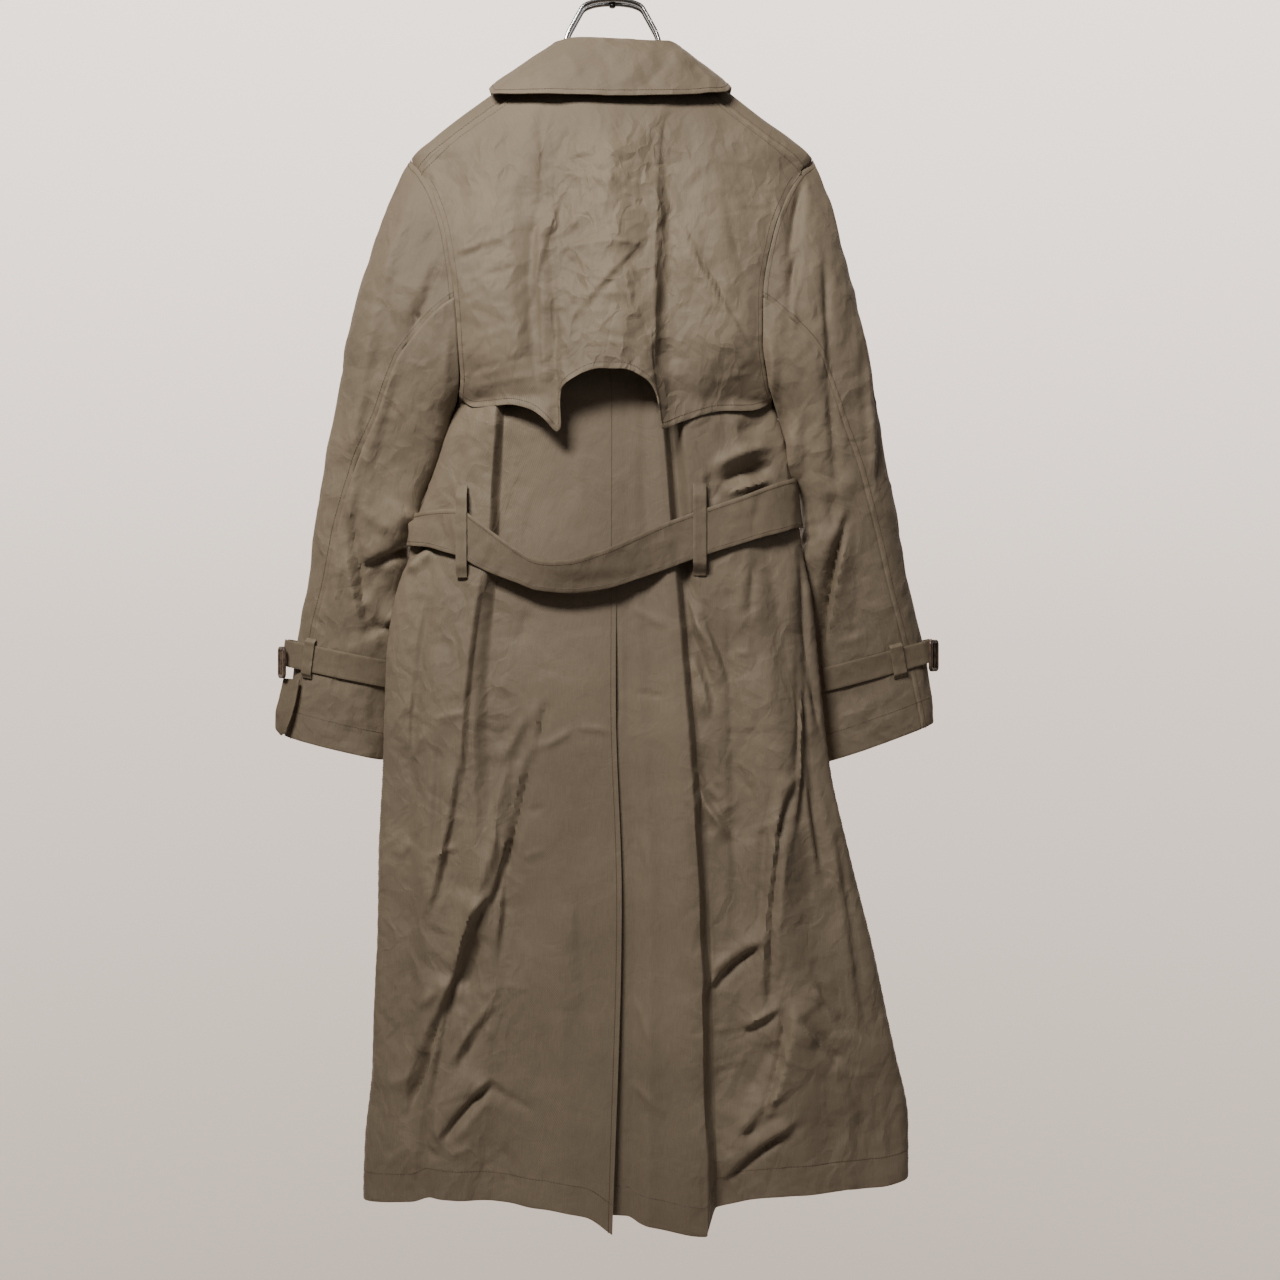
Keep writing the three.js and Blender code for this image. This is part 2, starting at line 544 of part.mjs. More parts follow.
const frontRowCount = 4 + FRONT_LEFT_EDGE.length + SKIRT_ROWS.length;
const countTo = (n, step = 1) => Array.from({ length: Math.round(n / step) + 1 }, (_, k) => k * step);

// The lapel lies on its front, from the roll line outward, and narrows to the break point.
function lapelPoint(side, u, v) {
  const width = rowAt([[4.9, 0.42], [5.4, 0.56], [6, 0.5], [7, 0.36], [8, 0.2], [9, 0.04]], v)[1];
  const p = frontPoint(side, u * width, v);
  p.y += PATCH_LIFT + 0.7;
  return p;
}

// ---------------------------------------------------------------- sleeves
function sleevePoint(rings, side, degrees, v, stand = 0) {
  const [ox, oz, ix, iz, y, back, front] = listAt(rings, v);
  const angle = (degrees * Math.PI) / 180;
  const share = (1 - Math.cos(angle)) / 2;
  const sine = Math.sin(angle);
  const depth = Math.sign(sine) * Math.abs(sine) ** 0.85;
  const p = new THREE.Vector3(mix(ox, ix, share), y - depth * (depth > 0 ? back : front), mix(oz, iz, share));
  const fade = 1 - smooth(0, 5, v);
  if (fade > 0) {
    const z = mix(-238, -491.5, share);
    const s = section(z);
    const over = PATCH_LIFT * smooth(-245, -262, z) * smooth(-491, -470, z);
    const start = 0.8 + 0.8 * smooth(-440, -485, z);
    const holeX = side < 0 ? s.left - start : s.right + start;
    const hole = new THREE.Vector3(holeX, sine > 0 ? s.sideBack - over : s.sideFront, z);
    const ring0 = listAt(rings, 0);
    const flat0 = new THREE.Vector3(
      mix(ring0[0], ring0[2], share),
      ring0[4] - depth * (depth > 0 ? ring0[5] : ring0[6]),
      mix(ring0[1], ring0[3], share),
    );
    p.addScaledVector(hole.sub(flat0), fade);
  }
  if (stand) {
    const outward = new THREE.Vector3((ox - ix) * Math.cos(angle), 0, (oz - iz) * Math.cos(angle));
    outward.divideScalar(((ox - ix) ** 2 + (oz - iz) ** 2) / 2);
    outward.y = -sine / (depth > 0 ? back : front);
    p.addScaledVector(outward.normalize(), stand);
  }
  return p;
}
function sleevePiece(rings, side, piece) {
  const vs = countTo(rings.length - 1);
  const columns = piece === "upper" ? 12 : 8;
  const point = (u, v) => {
    const [, back, front] = rowAt(SLEEVE_SEAMS, v);
    const degrees = piece === "upper" ? mix(front - 360, back, u) : mix(back, front, u);
    return sleevePoint(rings, side, degrees, v);
  };
  return cloth(countTo(1, 1 / columns), vs, point, { flip: side, trim: "lr", goesOn: true });
}

// ---------------------------------------------------------------- collar
function collarPoint(u, v, part) {
  const [fx, fz, fy, ex, ez, ey, nx, nz, ny] = listAt(COLLAR, u);
  const fold = new THREE.Vector3(fx, fy, fz);
  const neck = new THREE.Vector3(nx, ny, nz);
  const centre = new THREE.Vector3(6, -70, fz);
  const inward = centre.clone().sub(fold);
  inward.z = 0;
  inward.normalize();
  const turned = fold.clone().addScaledVector(inward, 3);
  turned.z -= 1.2;
  if (part === "stand") {
    const top = fold.clone().addScaledVector(inward, 4);
    top.z -= 3.2;
    return top.lerp(neck, v);
  }
  if (v < 1) return turned.lerp(fold, v);
  const edge = new THREE.Vector3(ex, ey, ez);
  const t = (v - 1) / 4;
  const p = fold.clone().lerp(edge, t);
  p.addScaledVector(inward, -2.5 * Math.sin(Math.PI * t));
  return p;
}

// ---------------------------------------------------------------- belt, loops and straps
// A point outside the body's section at a distance across, on the back or the front.
function girthPoint(across, z, front, stand) {
  const s = section(z);
  const x = clamp(across, s.left, s.right);
  const cosine = clamp((s.middle - x) / s.half, -1, 1);
  const sine = Math.sqrt(1 - cosine * cosine);
  const y = front ? frontY(x, z) : backY(x, z);
  const depth = front ? s.midFront - s.sideFront : s.midBack - s.sideBack;
  const outward = new THREE.Vector3(-cosine / s.half, sine / depth, 0).normalize();
  return new THREE.Vector3(x, y, z).addScaledVector(outward, stand);
}
const beltStations = [
  ...BELT_UNDER.map((row) => [...row, 1]),
  ...BELT_BACK.map((row) => [...row, 0]),
  ...BELT_FRONT.map((row) => [...row, 1]),
  ...BELT_OVER.map((row) => [...row, 1]),
];
function beltEdge(row, v) {
  const [x, top, bottom, standTop, standBottom, front] = row;
  return girthPoint(x, mix(top, bottom, v), front > 0.5, mix(standTop, standBottom, v));
}
function beltPoint(u, v) {
  const k = Math.min(Math.floor(u), beltStations.length - 2);
  return beltEdge(beltStations[k], v).lerp(beltEdge(beltStations[k + 1], v), u - k);
}
// The outer face of the back below the flap at a place across.
function backFace(x, z) {
  const folds = x < 5 ? BACK_LEFT_FOLDS : BACK_RIGHT_FOLDS;
  const edge = x < 5 ? -1 : 1;
  const lines = folds.map((fold) => foldLine(fold, edge, z));
  let k = 0;
  while (k < lines.length - 2 && x > lines[k + 1].x) k += 1;
  const proud = mix(lines[k].proud, lines[k + 1].proud, smooth(lines[k].x, lines[k + 1].x, x));
  return backY(x, z) - proud;
}
function loopPoint(loop, u, v) {
  const x = loop.x + mix(-loop.width / 2, loop.width / 2, u);
  const z = mix(loop.top, loop.bottom, v);
  const row = rowAt(BELT_BACK, x);
  const onBack = backFace(x, z) - PATCH_LIFT - 0.9;
  const beltY = beltEdge([...row, 0], clamp((z - row[1]) / (row[2] - row[1]))).y - loop.over;
  const over = smooth(0, 0.14, v) * smooth(1, 0.86, v);
  return new THREE.Vector3(x, mix(onBack, Math.min(beltY, onBack), over), z);
}
function strapPoint(rings, side, strap, degrees, v, stand) {
  const near = (1 + Math.cos((degrees * Math.PI) / 180)) / 2;
  const from = mix(strap.inner[0], strap.outer[0], near);
  const to = mix(strap.inner[1], strap.outer[1], near);
  const turn = Math.abs(((degrees + 180) % 360) - 180);
  const loose = turn < 50 ? strap.loose * Math.cos((turn * Math.PI) / 100) ** 2 : 0;
  return sleevePoint(rings, side, degrees, mix(from, to, v), stand + loose);
}
function strapEndPoint(u, v) {
  const [outerX, innerX, outerY, innerY, outerZ, innerZ] = listAt(STRAP_END, v);
  return new THREE.Vector3(mix(outerX, innerX, u), mix(outerY, innerY, u), mix(outerZ, innerZ, u));
}

// ---------------------------------------------------------------- assembly
const coat = new THREE.Group();
coat.name = "trench_coat_on_wall_hook";
function add(name, geometry, material) {
  const mesh = new THREE.Mesh(geometry, material.clone());
  mesh.name = name;
  coat.add(mesh);
  return mesh;
}

add("back_left", backPanel(BACK_LEFT_FOLDS, -1, BACK_HEM_LEFT, null), MATERIALS.cloth);
add("back_right", backPanel(BACK_RIGHT_FOLDS, 1, BACK_HEM_RIGHT, ventLap), MATERIALS.cloth);
add("storm_flap", cloth(flapColumns, FLAP_ROWS, flapPoint, { flip: -1, trim: "lrt" }), MATERIALS.cloth);

for (const [side, word] of [[-1, "left"], [1, "right"]]) {
  const columns = countTo(1, 1 / 11);
  const frontAt = (u, v) => frontPoint(side, u, v);
  const front = cloth(columns, countTo(frontRowCount), frontAt, { flip: side, trim: "rt" });
  add(`front_${word}`, front, MATERIALS.cloth);
  const lapelAt = (u, v) => lapelPoint(side, u, v);
  const lapel = cloth(countTo(1, 1 / 5), [4.9, 5.4, 6, 7, 8, 9], lapelAt, { flip: side });
  add(`lapel_${word}`, lapel, MATERIALS.cloth);
  const rings = side < 0 ? SLEEVE_LEFT : SLEEVE_RIGHT;
  add(`sleeve_upper_${word}`, sleevePiece(rings, side, "upper"), MATERIALS.cloth);
  add(`sleeve_under_${word}`, sleevePiece(rings, side, "under"), MATERIALS.cloth);
}

const collarColumns = countTo(COLLAR.length - 1, 0.5);
const fallPoint = (u, v) => collarPoint(u, v, "fall");
const standPoint = (u, v) => collarPoint(u, v, "stand");
add("collar_fall", cloth(collarColumns, [0, 1, 2, 3, 4, 5], fallPoint, { flip: -1 }), MATERIALS.cloth);
add("collar_stand", cloth(collarColumns, [0, 0.5, 1], standPoint, { flip: -1 }), MATERIALS.cloth);

add("belt", cloth(countTo(beltStations.length - 1), [0, 0.5, 1], beltPoint, { flip: -1 }), MATERIALS.belt);
for (const loop of BELT_LOOPS) {
  const rows = [0, 0.07, 0.14, 0.3, 0.5, 0.7, 0.86, 0.93, 1];
  const strip = cloth([0, 0.5, 1], rows, (u, v) => loopPoint(loop, u, v), { flip: -1 });
  add(`belt_loop_${loop.side}`, strip, MATERIALS.belt);
}
const beltBuckle = add("belt_buckle", buckleFrame(BELT_BUCKLE), MATERIALS.buckle);
beltBuckle.rotation.set(-Math.PI / 2, 0, 0);
beltBuckle.position.set(8, -8.2, -594);

for (const strap of CUFF_STRAPS) {
  const side = strap.side === "left" ? -1 : 1;
  const rings = side < 0 ? SLEEVE_LEFT : SLEEVE_RIGHT;
  const ring = (degrees, v) => strapPoint(rings, side, strap, degrees, v, PATCH_LIFT + 0.4);
  const turns = countTo(348, 12).map((value) => value + 6);
  add(`cuff_strap_${strap.side}`, cloth(turns, [0, 1], ring, { flip: side }), MATERIALS.belt);
  const keeper = (u, v) => {
    const over = smooth(-0.25, -0.08, v) * smooth(1.25, 1.08, v);
    return strapPoint(rings, side, strap, strap.keeper + u, v, PATCH_LIFT + mix(0.2, 3, over));
  };
  const rows = [-0.25, -0.16, -0.06, 0.3, 0.7, 1.06, 1.16, 1.25];
  add(`cuff_keeper_${strap.side}`, cloth([-7, 0, 7], rows, keeper, { flip: side }), MATERIALS.belt);
  const buckle = add(`cuff_buckle_${strap.side}`, buckleFrame(CUFF_BUCKLE), MATERIALS.buckle);
  const buckleStand = PATCH_LIFT + 0.4 + strap.clear + CUFF_BUCKLE.thickness / 2;
  const [low, high] = [0, buckleStand].map((stand) =>
    strapPoint(rings, side, strap, strap.buckle, 0.5, stand),
  );
  buckle.rotation.set(Math.PI / 2, 0, Math.atan2(high.x - low.x, low.y - high.y), "ZYX");
  buckle.position.copy(high);
  buckle.position.z -= strap.sag;
}

add("cuff_strap_end_left", cloth([0, 1], [0, 1, 2, 3, 4], strapEndPoint, { flip: -1 }), MATERIALS.belt);

BUTTONS.forEach(([x, z], k) => {
  const disc = new THREE.CylinderGeometry(BUTTON.radius, BUTTON.radius * 0.92, BUTTON.height, 14);
  const button = add(`front_button_${k + 1}`, disc, MATERIALS.button);
  const highest = Math.max(...[-13, -6, 0, 6, 13].map((step) => frontY(x + step, z)));
  button.position.set(x, highest + BUTTON.height / 2 + 0.6, z);
});

// Hanger: one closed loop of wire, two runs side by side, with a hook held between them.
const run = [...WIRE_RUN.slice(1).reverse().map(([x, z]) => [-x, z]), ...WIRE_RUN];
const middleY = (WIRE_FRONT_Y + WIRE_REAR_Y) / 2;
const ends = WIRE_RUN[WIRE_RUN.length - 1];
const loopPoints = [
  ...run.map(([x, z]) => new THREE.Vector3(x, WIRE_FRONT_Y, z)),
  new THREE.Vector3(ends[0] + 4.5, middleY, ends[1] - 3.4),
  ...run.slice().reverse().map(([x, z]) => new THREE.Vector3(x, WIRE_REAR_Y, z)),
  new THREE.Vector3(-ends[0] - 4.5, middleY, ends[1] - 3.4),
];
add("hanger_wire", bar(loopPoints, WIRE_RADIUS, 120, 6, true), MATERIALS.chrome);

const spool = [
  [0, -83], [3.2, -83], [3.2, -79.8], [2.4, -79.8], [2.4, -74.9], [9.5, -74.9], [9.5, -68.5],
  [5, -64], [0, -64],
].map(([r, z]) => new THREE.Vector2(r, z));
const boss = add("hanger_boss", new THREE.LatheGeometry(spool, 14), MATERIALS.boss);
boss.rotation.x = Math.PI / 2;
boss.position.set(0, middleY, 0);

const hookRun = [
  [0, -63.6], [0, -38], [4, -31], [12, -22], [16, -10], [13.5, 0.5], [7.5, 6], [0, 8], [-7.5, 6],
  [-13.5, 0.5], [-16, -8], [-17.5, -16],
].map(([x, z]) => new THREE.Vector3(x, middleY, z));
add("hanger_hook", bar(hookRun, HOOK_WIRE_RADIUS, 30, 7), MATERIALS.chrome);

// Wall hook: plate, two screws, and a rod that turns up at its end.
const plateBox = new THREE.BoxGeometry(PLATE.width, PLATE.thickness, PLATE.height);
const plate = add("wall_plate", plateBox, MATERIALS.hook);
plate.position.set(0, -PLATE.thickness / 2, 0);
for (const [word, z] of [["upper", 22], ["lower", -22]]) {
  const screw = add(`wall_screw_${word}`, new THREE.CylinderGeometry(4, 4.6, 2, 12), MATERIALS.hook);
  screw.position.set(0, -PLATE.thickness - 1.3, z);
}
const rodRun = [
  [-4.3, 0], [-20, 0], [-50, 0], [-82, 0], [-91, 3], [-96, 10], [-97, 20],
].map(([y, z]) => new THREE.Vector3(0, y, z + 1.2));
add("wall_rod", bar(rodRun, WALL_ROD_RADIUS, 18, 9), MATERIALS.hook);

export default coat;
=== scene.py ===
# A long belted trench coat seen from behind, on a wire hanger that hangs from a wall hook.
# Sizes are in millimetres until a mesh is made, which is in metres. +Z is up, the coat's back
# faces -Y, and the origin is the middle of the wall plate's rear face.
import math

import bpy
import numpy as np
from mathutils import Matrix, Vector


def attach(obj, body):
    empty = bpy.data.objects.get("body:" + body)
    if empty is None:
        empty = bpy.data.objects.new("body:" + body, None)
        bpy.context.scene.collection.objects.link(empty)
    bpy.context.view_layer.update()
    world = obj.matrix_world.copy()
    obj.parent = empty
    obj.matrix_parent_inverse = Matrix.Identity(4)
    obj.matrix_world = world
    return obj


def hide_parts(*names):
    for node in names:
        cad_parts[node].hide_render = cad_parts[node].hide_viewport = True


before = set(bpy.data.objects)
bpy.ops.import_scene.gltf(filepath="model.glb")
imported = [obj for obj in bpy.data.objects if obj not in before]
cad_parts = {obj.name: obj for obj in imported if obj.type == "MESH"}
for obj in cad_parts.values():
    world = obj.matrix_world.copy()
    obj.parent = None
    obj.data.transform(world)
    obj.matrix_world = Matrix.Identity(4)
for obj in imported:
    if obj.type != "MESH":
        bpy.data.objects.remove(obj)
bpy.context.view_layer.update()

scene = bpy.context.scene


# ------------------------------------------------------------------ camera
# It stands level with the waist, a little to the right of the hook, 1.4 m before the coat.
CAMERA_PLACE = (0.028, -1.5, -0.725)
VIEW_WIDTH, VIEW_DISTANCE = 1.28, 1.4
camera = bpy.data.objects.new("camera", bpy.data.cameras.new("camera"))
scene.collection.objects.link(camera)
camera.location = CAMERA_PLACE
camera.rotation_euler = (math.pi / 2, 0, 0)
camera.data.lens = camera.data.sensor_width * VIEW_DISTANCE / VIEW_WIDTH
scene.camera = camera


# ------------------------------------------------------------------ studio: light and floor
# A pale room, brighter overhead, with one large soft ceiling lamp before the coat and a pale
# floor well below its hem.
def linear(colour):
    """An sRGB hex colour as linear light."""
    parts = [int(colour[k : k + 2], 16) / 255 for k in (1, 3, 5)]
    return (*[c / 12.92 if c <= 0.04045 else ((c + 0.055) / 1.055) ** 2.4 for c in parts], 1)


def node(tree, kind, inputs=None, **settings):
    """A node with its settings; each input gets a value or the socket that it comes from."""
    made = tree.nodes.new(kind)
    for key, value in settings.items():
        setattr(made, key, value)
    for key, value in (inputs or {}).items():
        if isinstance(value, bpy.types.NodeSocket):
            tree.links.new(value, made.inputs[key])
        else:
            made.inputs[key].default_value = value
    return made


def finish(name, colour, roughness, metallic=0.0):
    """A material of one colour and gloss, with its node tree and its surface node."""
    material = bpy.data.materials.new(name)
    material.use_nodes = True
    face = material.node_tree.nodes["Principled BSDF"]
    face.inputs["Base Color"].default_value = linear(colour)
    face.inputs["Roughness"].default_value = roughness
    face.inputs["Metallic"].default_value = metallic
    return material, material.node_tree, face


# height from straight down to straight up, colour
ROOM_COLOURS = [(0.0, "#6f6a64"), (0.30, "#968a80"), (0.5, "#bcafa5"), (0.70, "#efdfd4"), (1.0, "#fbf8f4")]
WALL_GLOW, ROOM_GLOW = 2.9, 0.17  # the pale wall behind the coat, and the darker room before it
world = bpy.data.worlds.new("pale room")
scene.world = world
world.use_nodes = True
room = world.node_tree
room.nodes.clear()
direction = node(room, "ShaderNodeTexCoord")
height = node(room, "ShaderNodeSeparateXYZ", {0: direction.outputs["Generated"]})
share = node(room, "ShaderNodeMapRange", {"Value": height.outputs["Z"], "From Min": -1.0, "From Max": 1.0})
ramp = node(room, "ShaderNodeValToRGB", {0: share.outputs[0]})
while len(ramp.color_ramp.elements) < len(ROOM_COLOURS):
    ramp.color_ramp.elements.new(0.5)
for stop, (place, colour) in zip(ramp.color_ramp.elements, ROOM_COLOURS):
    stop.position, stop.color = place, linear(colour)
glow = node(room, "ShaderNodeMapRange",
            {"Value": height.outputs["Y"], "From Min": 0.35, "From Max": 0.8, "To Min": ROOM_GLOW,
             "To Max": WALL_GLOW}, interpolation_type="SMOOTHSTEP")
background = node(room, "ShaderNodeBackground", {"Color": ramp.outputs[0], "Strength": glow.outputs[0]})
node(room, "ShaderNodeOutputWorld", {"Surface": background.outputs[0]})

LAMPS = [
    # name, place, aims at, size across and up, watts, colour
    ("ceiling lamp", (-0.56, -1.27, 0.5), (0.0, -0.1, -0.33), (0.6, 0.35), 42, "#fffaf2"),
    ("fill lamp", (1.5, -1.8, -0.3), (0.0, -0.1, -0.6), (1.2, 1.2), 2.4, "#f4f4fa"),
]
for name, place, aim, size, watts, colour in LAMPS:
    lamp = bpy.data.lights.new(name, "AREA")
    lamp.shape = "RECTANGLE"
    lamp.size, lamp.size_y = size
    lamp.energy = watts
    lamp.color = linear(colour)[:3]
    lamp_object = bpy.data.objects.new(name, lamp)
    scene.collection.objects.link(lamp_object)
    lamp_object.location = place
    lamp_object.rotation_euler = (Vector(aim) - Vector(place)).to_track_quat("-Z", "Y").to_euler()

FLOOR_HEIGHT, FLOOR_RADIUS, FLOOR_CORNERS = -1.95, 1.15, 96
floor_mesh = bpy.data.meshes.new("floor")
rim = [(FLOOR_RADIUS * math.cos(a), FLOOR_RADIUS * math.sin(a) - 0.1, FLOOR_HEIGHT)
       for a in np.linspace(0, 2 * math.pi, FLOOR_CORNERS, endpoint=False)]
floor_mesh.from_pydata(rim, [], [range(FLOOR_CORNERS)])
floor = bpy.data.objects.new("floor", floor_mesh)
scene.collection.objects.link(floor)
floor_mesh.materials.append(finish("pale matt floor paint", "#cdc8c2", 0.9)[0])


# ------------------------------------------------------------------ coat cloth
# Khaki gabardine of polyester and cotton, piece-dyed and worn soft. Seen close it shows a fine
# steep twill, at arm's length a dry matt face with a faint bloom and pressed-in crumples.
TWILL_PITCH = 1.1  # mm; the real rib is 0.45 mm, drawn coarser so that it shows
WAVE_SCALE = 0.31416  # the scale at which a wave texture repeats once a metre
TWILL_SLOPE = 27  # degrees
SLUB_SCALE = (900, 60, 1)  # thick places in the yarn, a millimetre wide and 16 mm long
# the two sizes of pressed-in crumples: slope in degrees, patches a metre, height in metres
CRUMPLES = ((24, 19.0, 0.0052), (-38, 41.0, 0.0027))


def gabardine(name, dye, faded, shadow):
    """Matt dyed twill: dye in the open, faded where it rubs, shadow between the ribs."""
    cloth_material = bpy.data.materials.new(name)
    cloth_material.use_nodes = True
    tree = cloth_material.node_tree
    tree.nodes.clear()
    place = node(tree, "ShaderNodeTexCoord")
    laid, where = place.outputs["UV"], place.outputs["Object"]
    busy = node(tree, "ShaderNodeAttribute", attribute_name="busy")
    rub = node(tree, "ShaderNodeAttribute", attribute_name="rub")

    # the colour drifts slowly over the coat, fades where it rubs, and is darker between the ribs
    patches = node(tree, "ShaderNodeTexNoise",
                   {"Vector": where, "Scale": 5.5, "Detail": 3.0, "Roughness": 0.55})
    drift = node(tree, "ShaderNodeMapRange",
                 {"Value": patches.outputs[0], "From Min": 0.35, "From Max": 0.65, "To Min": 0.0,
                  "To Max": 0.55})
    worn = node(tree, "ShaderNodeMath", {0: drift.outputs[0], 1: rub.outputs["Fac"]},
                operation="ADD", use_clamp=True)
    base = node(tree, "ShaderNodeMix", {"Factor": worn.outputs[0], "A": linear(dye), "B": linear(faded)},
                data_type="RGBA")
    turned = node(tree, "ShaderNodeMapping", {"Vector": laid, "Rotation": (0, 0, math.radians(TWILL_SLOPE))})
    ribs = node(tree, "ShaderNodeTexWave",
                {"Vector": turned.outputs[0], "Scale": WAVE_SCALE / (TWILL_PITCH / 1000), "Distortion": 0.6,
                 "Detail": 1.0, "Detail Scale": 3.0})
    between = node(tree, "ShaderNodeMapRange",
                   {"Value": ribs.outputs["Fac"], "From Min": 0.0, "From Max": 1.0, "To Min": 0.22,
                    "To Max": 0.0})
    dark = node(tree, "ShaderNodeMix", {"Factor": between.outputs[0], "A": base.outputs[2],
                                        "B": linear(shadow)}, data_type="RGBA")
    stretched = node(tree, "ShaderNodeMapping", {"Vector": laid, "Scale": SLUB_SCALE})
    slubs = node(tree, "ShaderNodeTexNoise", {"Vector": stretched.outputs[0], "Scale": 1.0, "Detail": 2.0})
    thick = node(tree, "ShaderNodeMapRange",
                 {"Value": slubs.outputs[0], "From Min": 0.3, "From Max": 0.7, "To Min": 0.94, "To Max": 1.06})
    colour = node(tree, "ShaderNodeVectorMath", {0: dark.outputs[2], "Scale": thick.outputs[0]},
                  operation="SCALE")

    # crumples of two sizes where the cloth is busy, then soft unevenness, then the ribs
    wander = node(tree, "ShaderNodeTexNoise", {"Vector": where, "Scale": 13.0, "Detail": 3.0})
    shift = node(tree, "ShaderNodeVectorMath", {0: wander.outputs["Color"], "Scale": 0.085}, operation="SCALE")
    shaken = node(tree, "ShaderNodeVectorMath", {0: shift.outputs[0], 1: where}, operation="ADD")
    bump = None
    for slope, patches_a_metre, height in CRUMPLES:
        tilted = node(tree, "ShaderNodeMapping",
                      {"Vector": shaken.outputs[0], "Rotation": (0, math.radians(slope), 0),
                       "Scale": (1, 1, 0.55)})
        folded = node(tree, "ShaderNodeTexVoronoi",
                      {"Vector": tilted.outputs[0], "Scale": patches_a_metre, "Randomness": 1.0},
                      feature="F1", distance="MANHATTAN")
        pressed = {"Height": folded.outputs["Distance"], "Distance": height, "Strength": busy.outputs["Fac"]}
        if bump is not None:
            pressed["Normal"] = bump.outputs[0]
        bump = node(tree, "ShaderNodeBump", pressed)
    uneven = node(tree, "ShaderNodeTexNoise",
                  {"Vector": where, "Scale": 30.0, "Detail": 4.0, "Roughness": 0.5, "Distortion": 0.9})
    fine_bump = node(tree, "ShaderNodeBump",
                     {"Height": uneven.outputs[0], "Strength": 0.4, "Distance": 0.003,
                      "Normal": bump.outputs[0]})
    rib_bump = node(tree, "ShaderNodeBump",
                    {"Height": ribs.outputs["Fac"], "Strength": 0.35, "Distance": 0.00018,
                     "Normal": fine_bump.outputs[0]})
    surface = node(tree, "ShaderNodeBsdfPrincipled",
                   {"Base Color": colour.outputs[0], "Roughness": 0.66, "Specular IOR Level": 0.34,
                    "Sheen Weight": 0.16, "Sheen Roughness": 0.45, "Sheen Tint": linear("#d9cbb4"),
                    "Normal": rib_bump.outputs[0]})
    node(tree, "ShaderNodeOutputMaterial", {"Surface": surface.outputs[0]})
    return cloth_material


coat_cloth = gabardine("khaki gabardine, dyed and worn soft", "#716556", "#857866", "#463e33")


# ------------------------------------------------------------------ the coat's form
# The hollow body that the hanger and the weight of the cloth give the coat, as cross-sections
# from the neck to the hem, and the tools that lay cloth on it.
SECTIONS = np.array([
    # z, left, right, side_back, mid_back, power_back, side_front, mid_front, power_front
    [-143, -81, 83, -80, -102, 0.6, -80, -62, 0.6],
    [-157, -101, 102, -80, -107, 0.6, -80, -56, 0.6],
    [-177, -129, 127, -80, -111, 0.6, -80, -50, 0.6],
    [-198, -158, 154, -80, -115, 0.6, -80, -45, 0.6],
    [-218, -183, 182, -80, -118, 0.6, -80, -40, 0.6],
    [-238, -204, 203, -80, -120, 0.6, -80, -36, 0.6],
    [-254, -193, 190, -91, -122, 0.8, -68, -33, 0.8],
    [-281, -178, 175, -102, -124, 1, -56, -29, 1],
    [-325, -164, 159, -114, -125, 1, -44, -25, 1],
    [-386, -155, 149, -119, -124, 1, -39, -22, 1],
    [-429, -152, 149, -115, -122, 1, -40, -20, 1],
    [-461, -151, 154, -104, -119, 1, -49, -19, 1],
    [-481, -154, 160, -91, -117, 1, -61, -19, 0.9],
    [-491, -159, 165, -78, -115, 0.6, -74, -19, 0.6],
    [-525, -172, 175, -75, -112, 0.35, -74, -20, 0.5],
    [-565, -186, 184, -74, -110, 0.35, -73, -20, 0.5],
    [-605, -199, 189, -74, -109, 0.35, -73, -20, 0.5],
    [-645, -208, 195, -74, -109, 0.35, -73, -20, 0.5],
    [-685, -221, 203, -74, -109, 0.35, -73, -20, 0.5],
    [-745, -230, 209, -75, -111, 0.35, -74, -20, 0.5],
    [-855, -233, 221, -76, -113, 0.35, -75, -18, 0.5],
    [-945, -237, 241, -77, -116, 0.35, -76, -15, 0.5],
    [-1045, -238, 264, -79, -120, 0.35, -78, -13, 0.5],
    [-1155, -242, 285, -81, -124, 0.35, -80, -11, 0.5],
    [-1235, -250, 299, -81, -127, 0.35, -80, -11, 0.5],
    [-1330, -252, 298, -81, -128, 0.35, -80, -11, 0.5],
])
SHOULDER_POINT, ARMHOLE_BACK, FLAP_GIRTH, ARMHOLE_FOOT = -238, -253, -461, -491.5  # heights
HEM_LEVEL = -1290
SEAM_DROP = 25  # the shoulder seam lies this far behind the ridge, measured down
CLOTH_WALL, PUCKER = 1.2, 0.2
SIDES = ((-1, "left"), (1, "right"))


def ease(a, b, value):
    t = np.clip((value - a) / (b - a), 0, 1)
    return t * t * (3 - 2 * t)


def mix(a, b, t):
    return a + (b - a) * t


def through(keys, values, at):
    """A smooth line through a table's rows that never swings past them."""
    keys, values = np.asarray(keys, float), np.asarray(values, float)
    if keys[0] > keys[-1]:
        keys, values = keys[::-1], values[::-1]
    step = np.diff(keys)
    slope = (np.diff(values, axis=0).T / step).T
    same = slope[:-1] * slope[1:] > 0
    total = np.where(same, slope[:-1] + slope[1:], 1)
    tangent = np.zeros_like(values)
    tangent[1:-1] = np.where(same, 2 * slope[:-1] * slope[1:] / total, 0)
    tangent[0], tangent[-1] = slope[0], slope[-1]
    at = np.clip(at, keys[0], keys[-1])
    k = np.clip(np.searchsorted(keys, at, side="right") - 1, 0, len(keys) - 2)
    h, t = step[k], (at - keys[k]) / step[k]
    if values.ndim > 1:
        h, t = h[..., None], t[..., None]
    a, b, go, come = values[k], values[k + 1], tangent[k] * h, tangent[k + 1] * h
    return a + t * (go + t * (3 * (b - a) - 2 * go - come + t * (2 * (a - b) + go + come)))


def row_at(table, at):
    """A table's row at a number between its rows, counted from 0."""
    return through(range(len(table)), table, at)


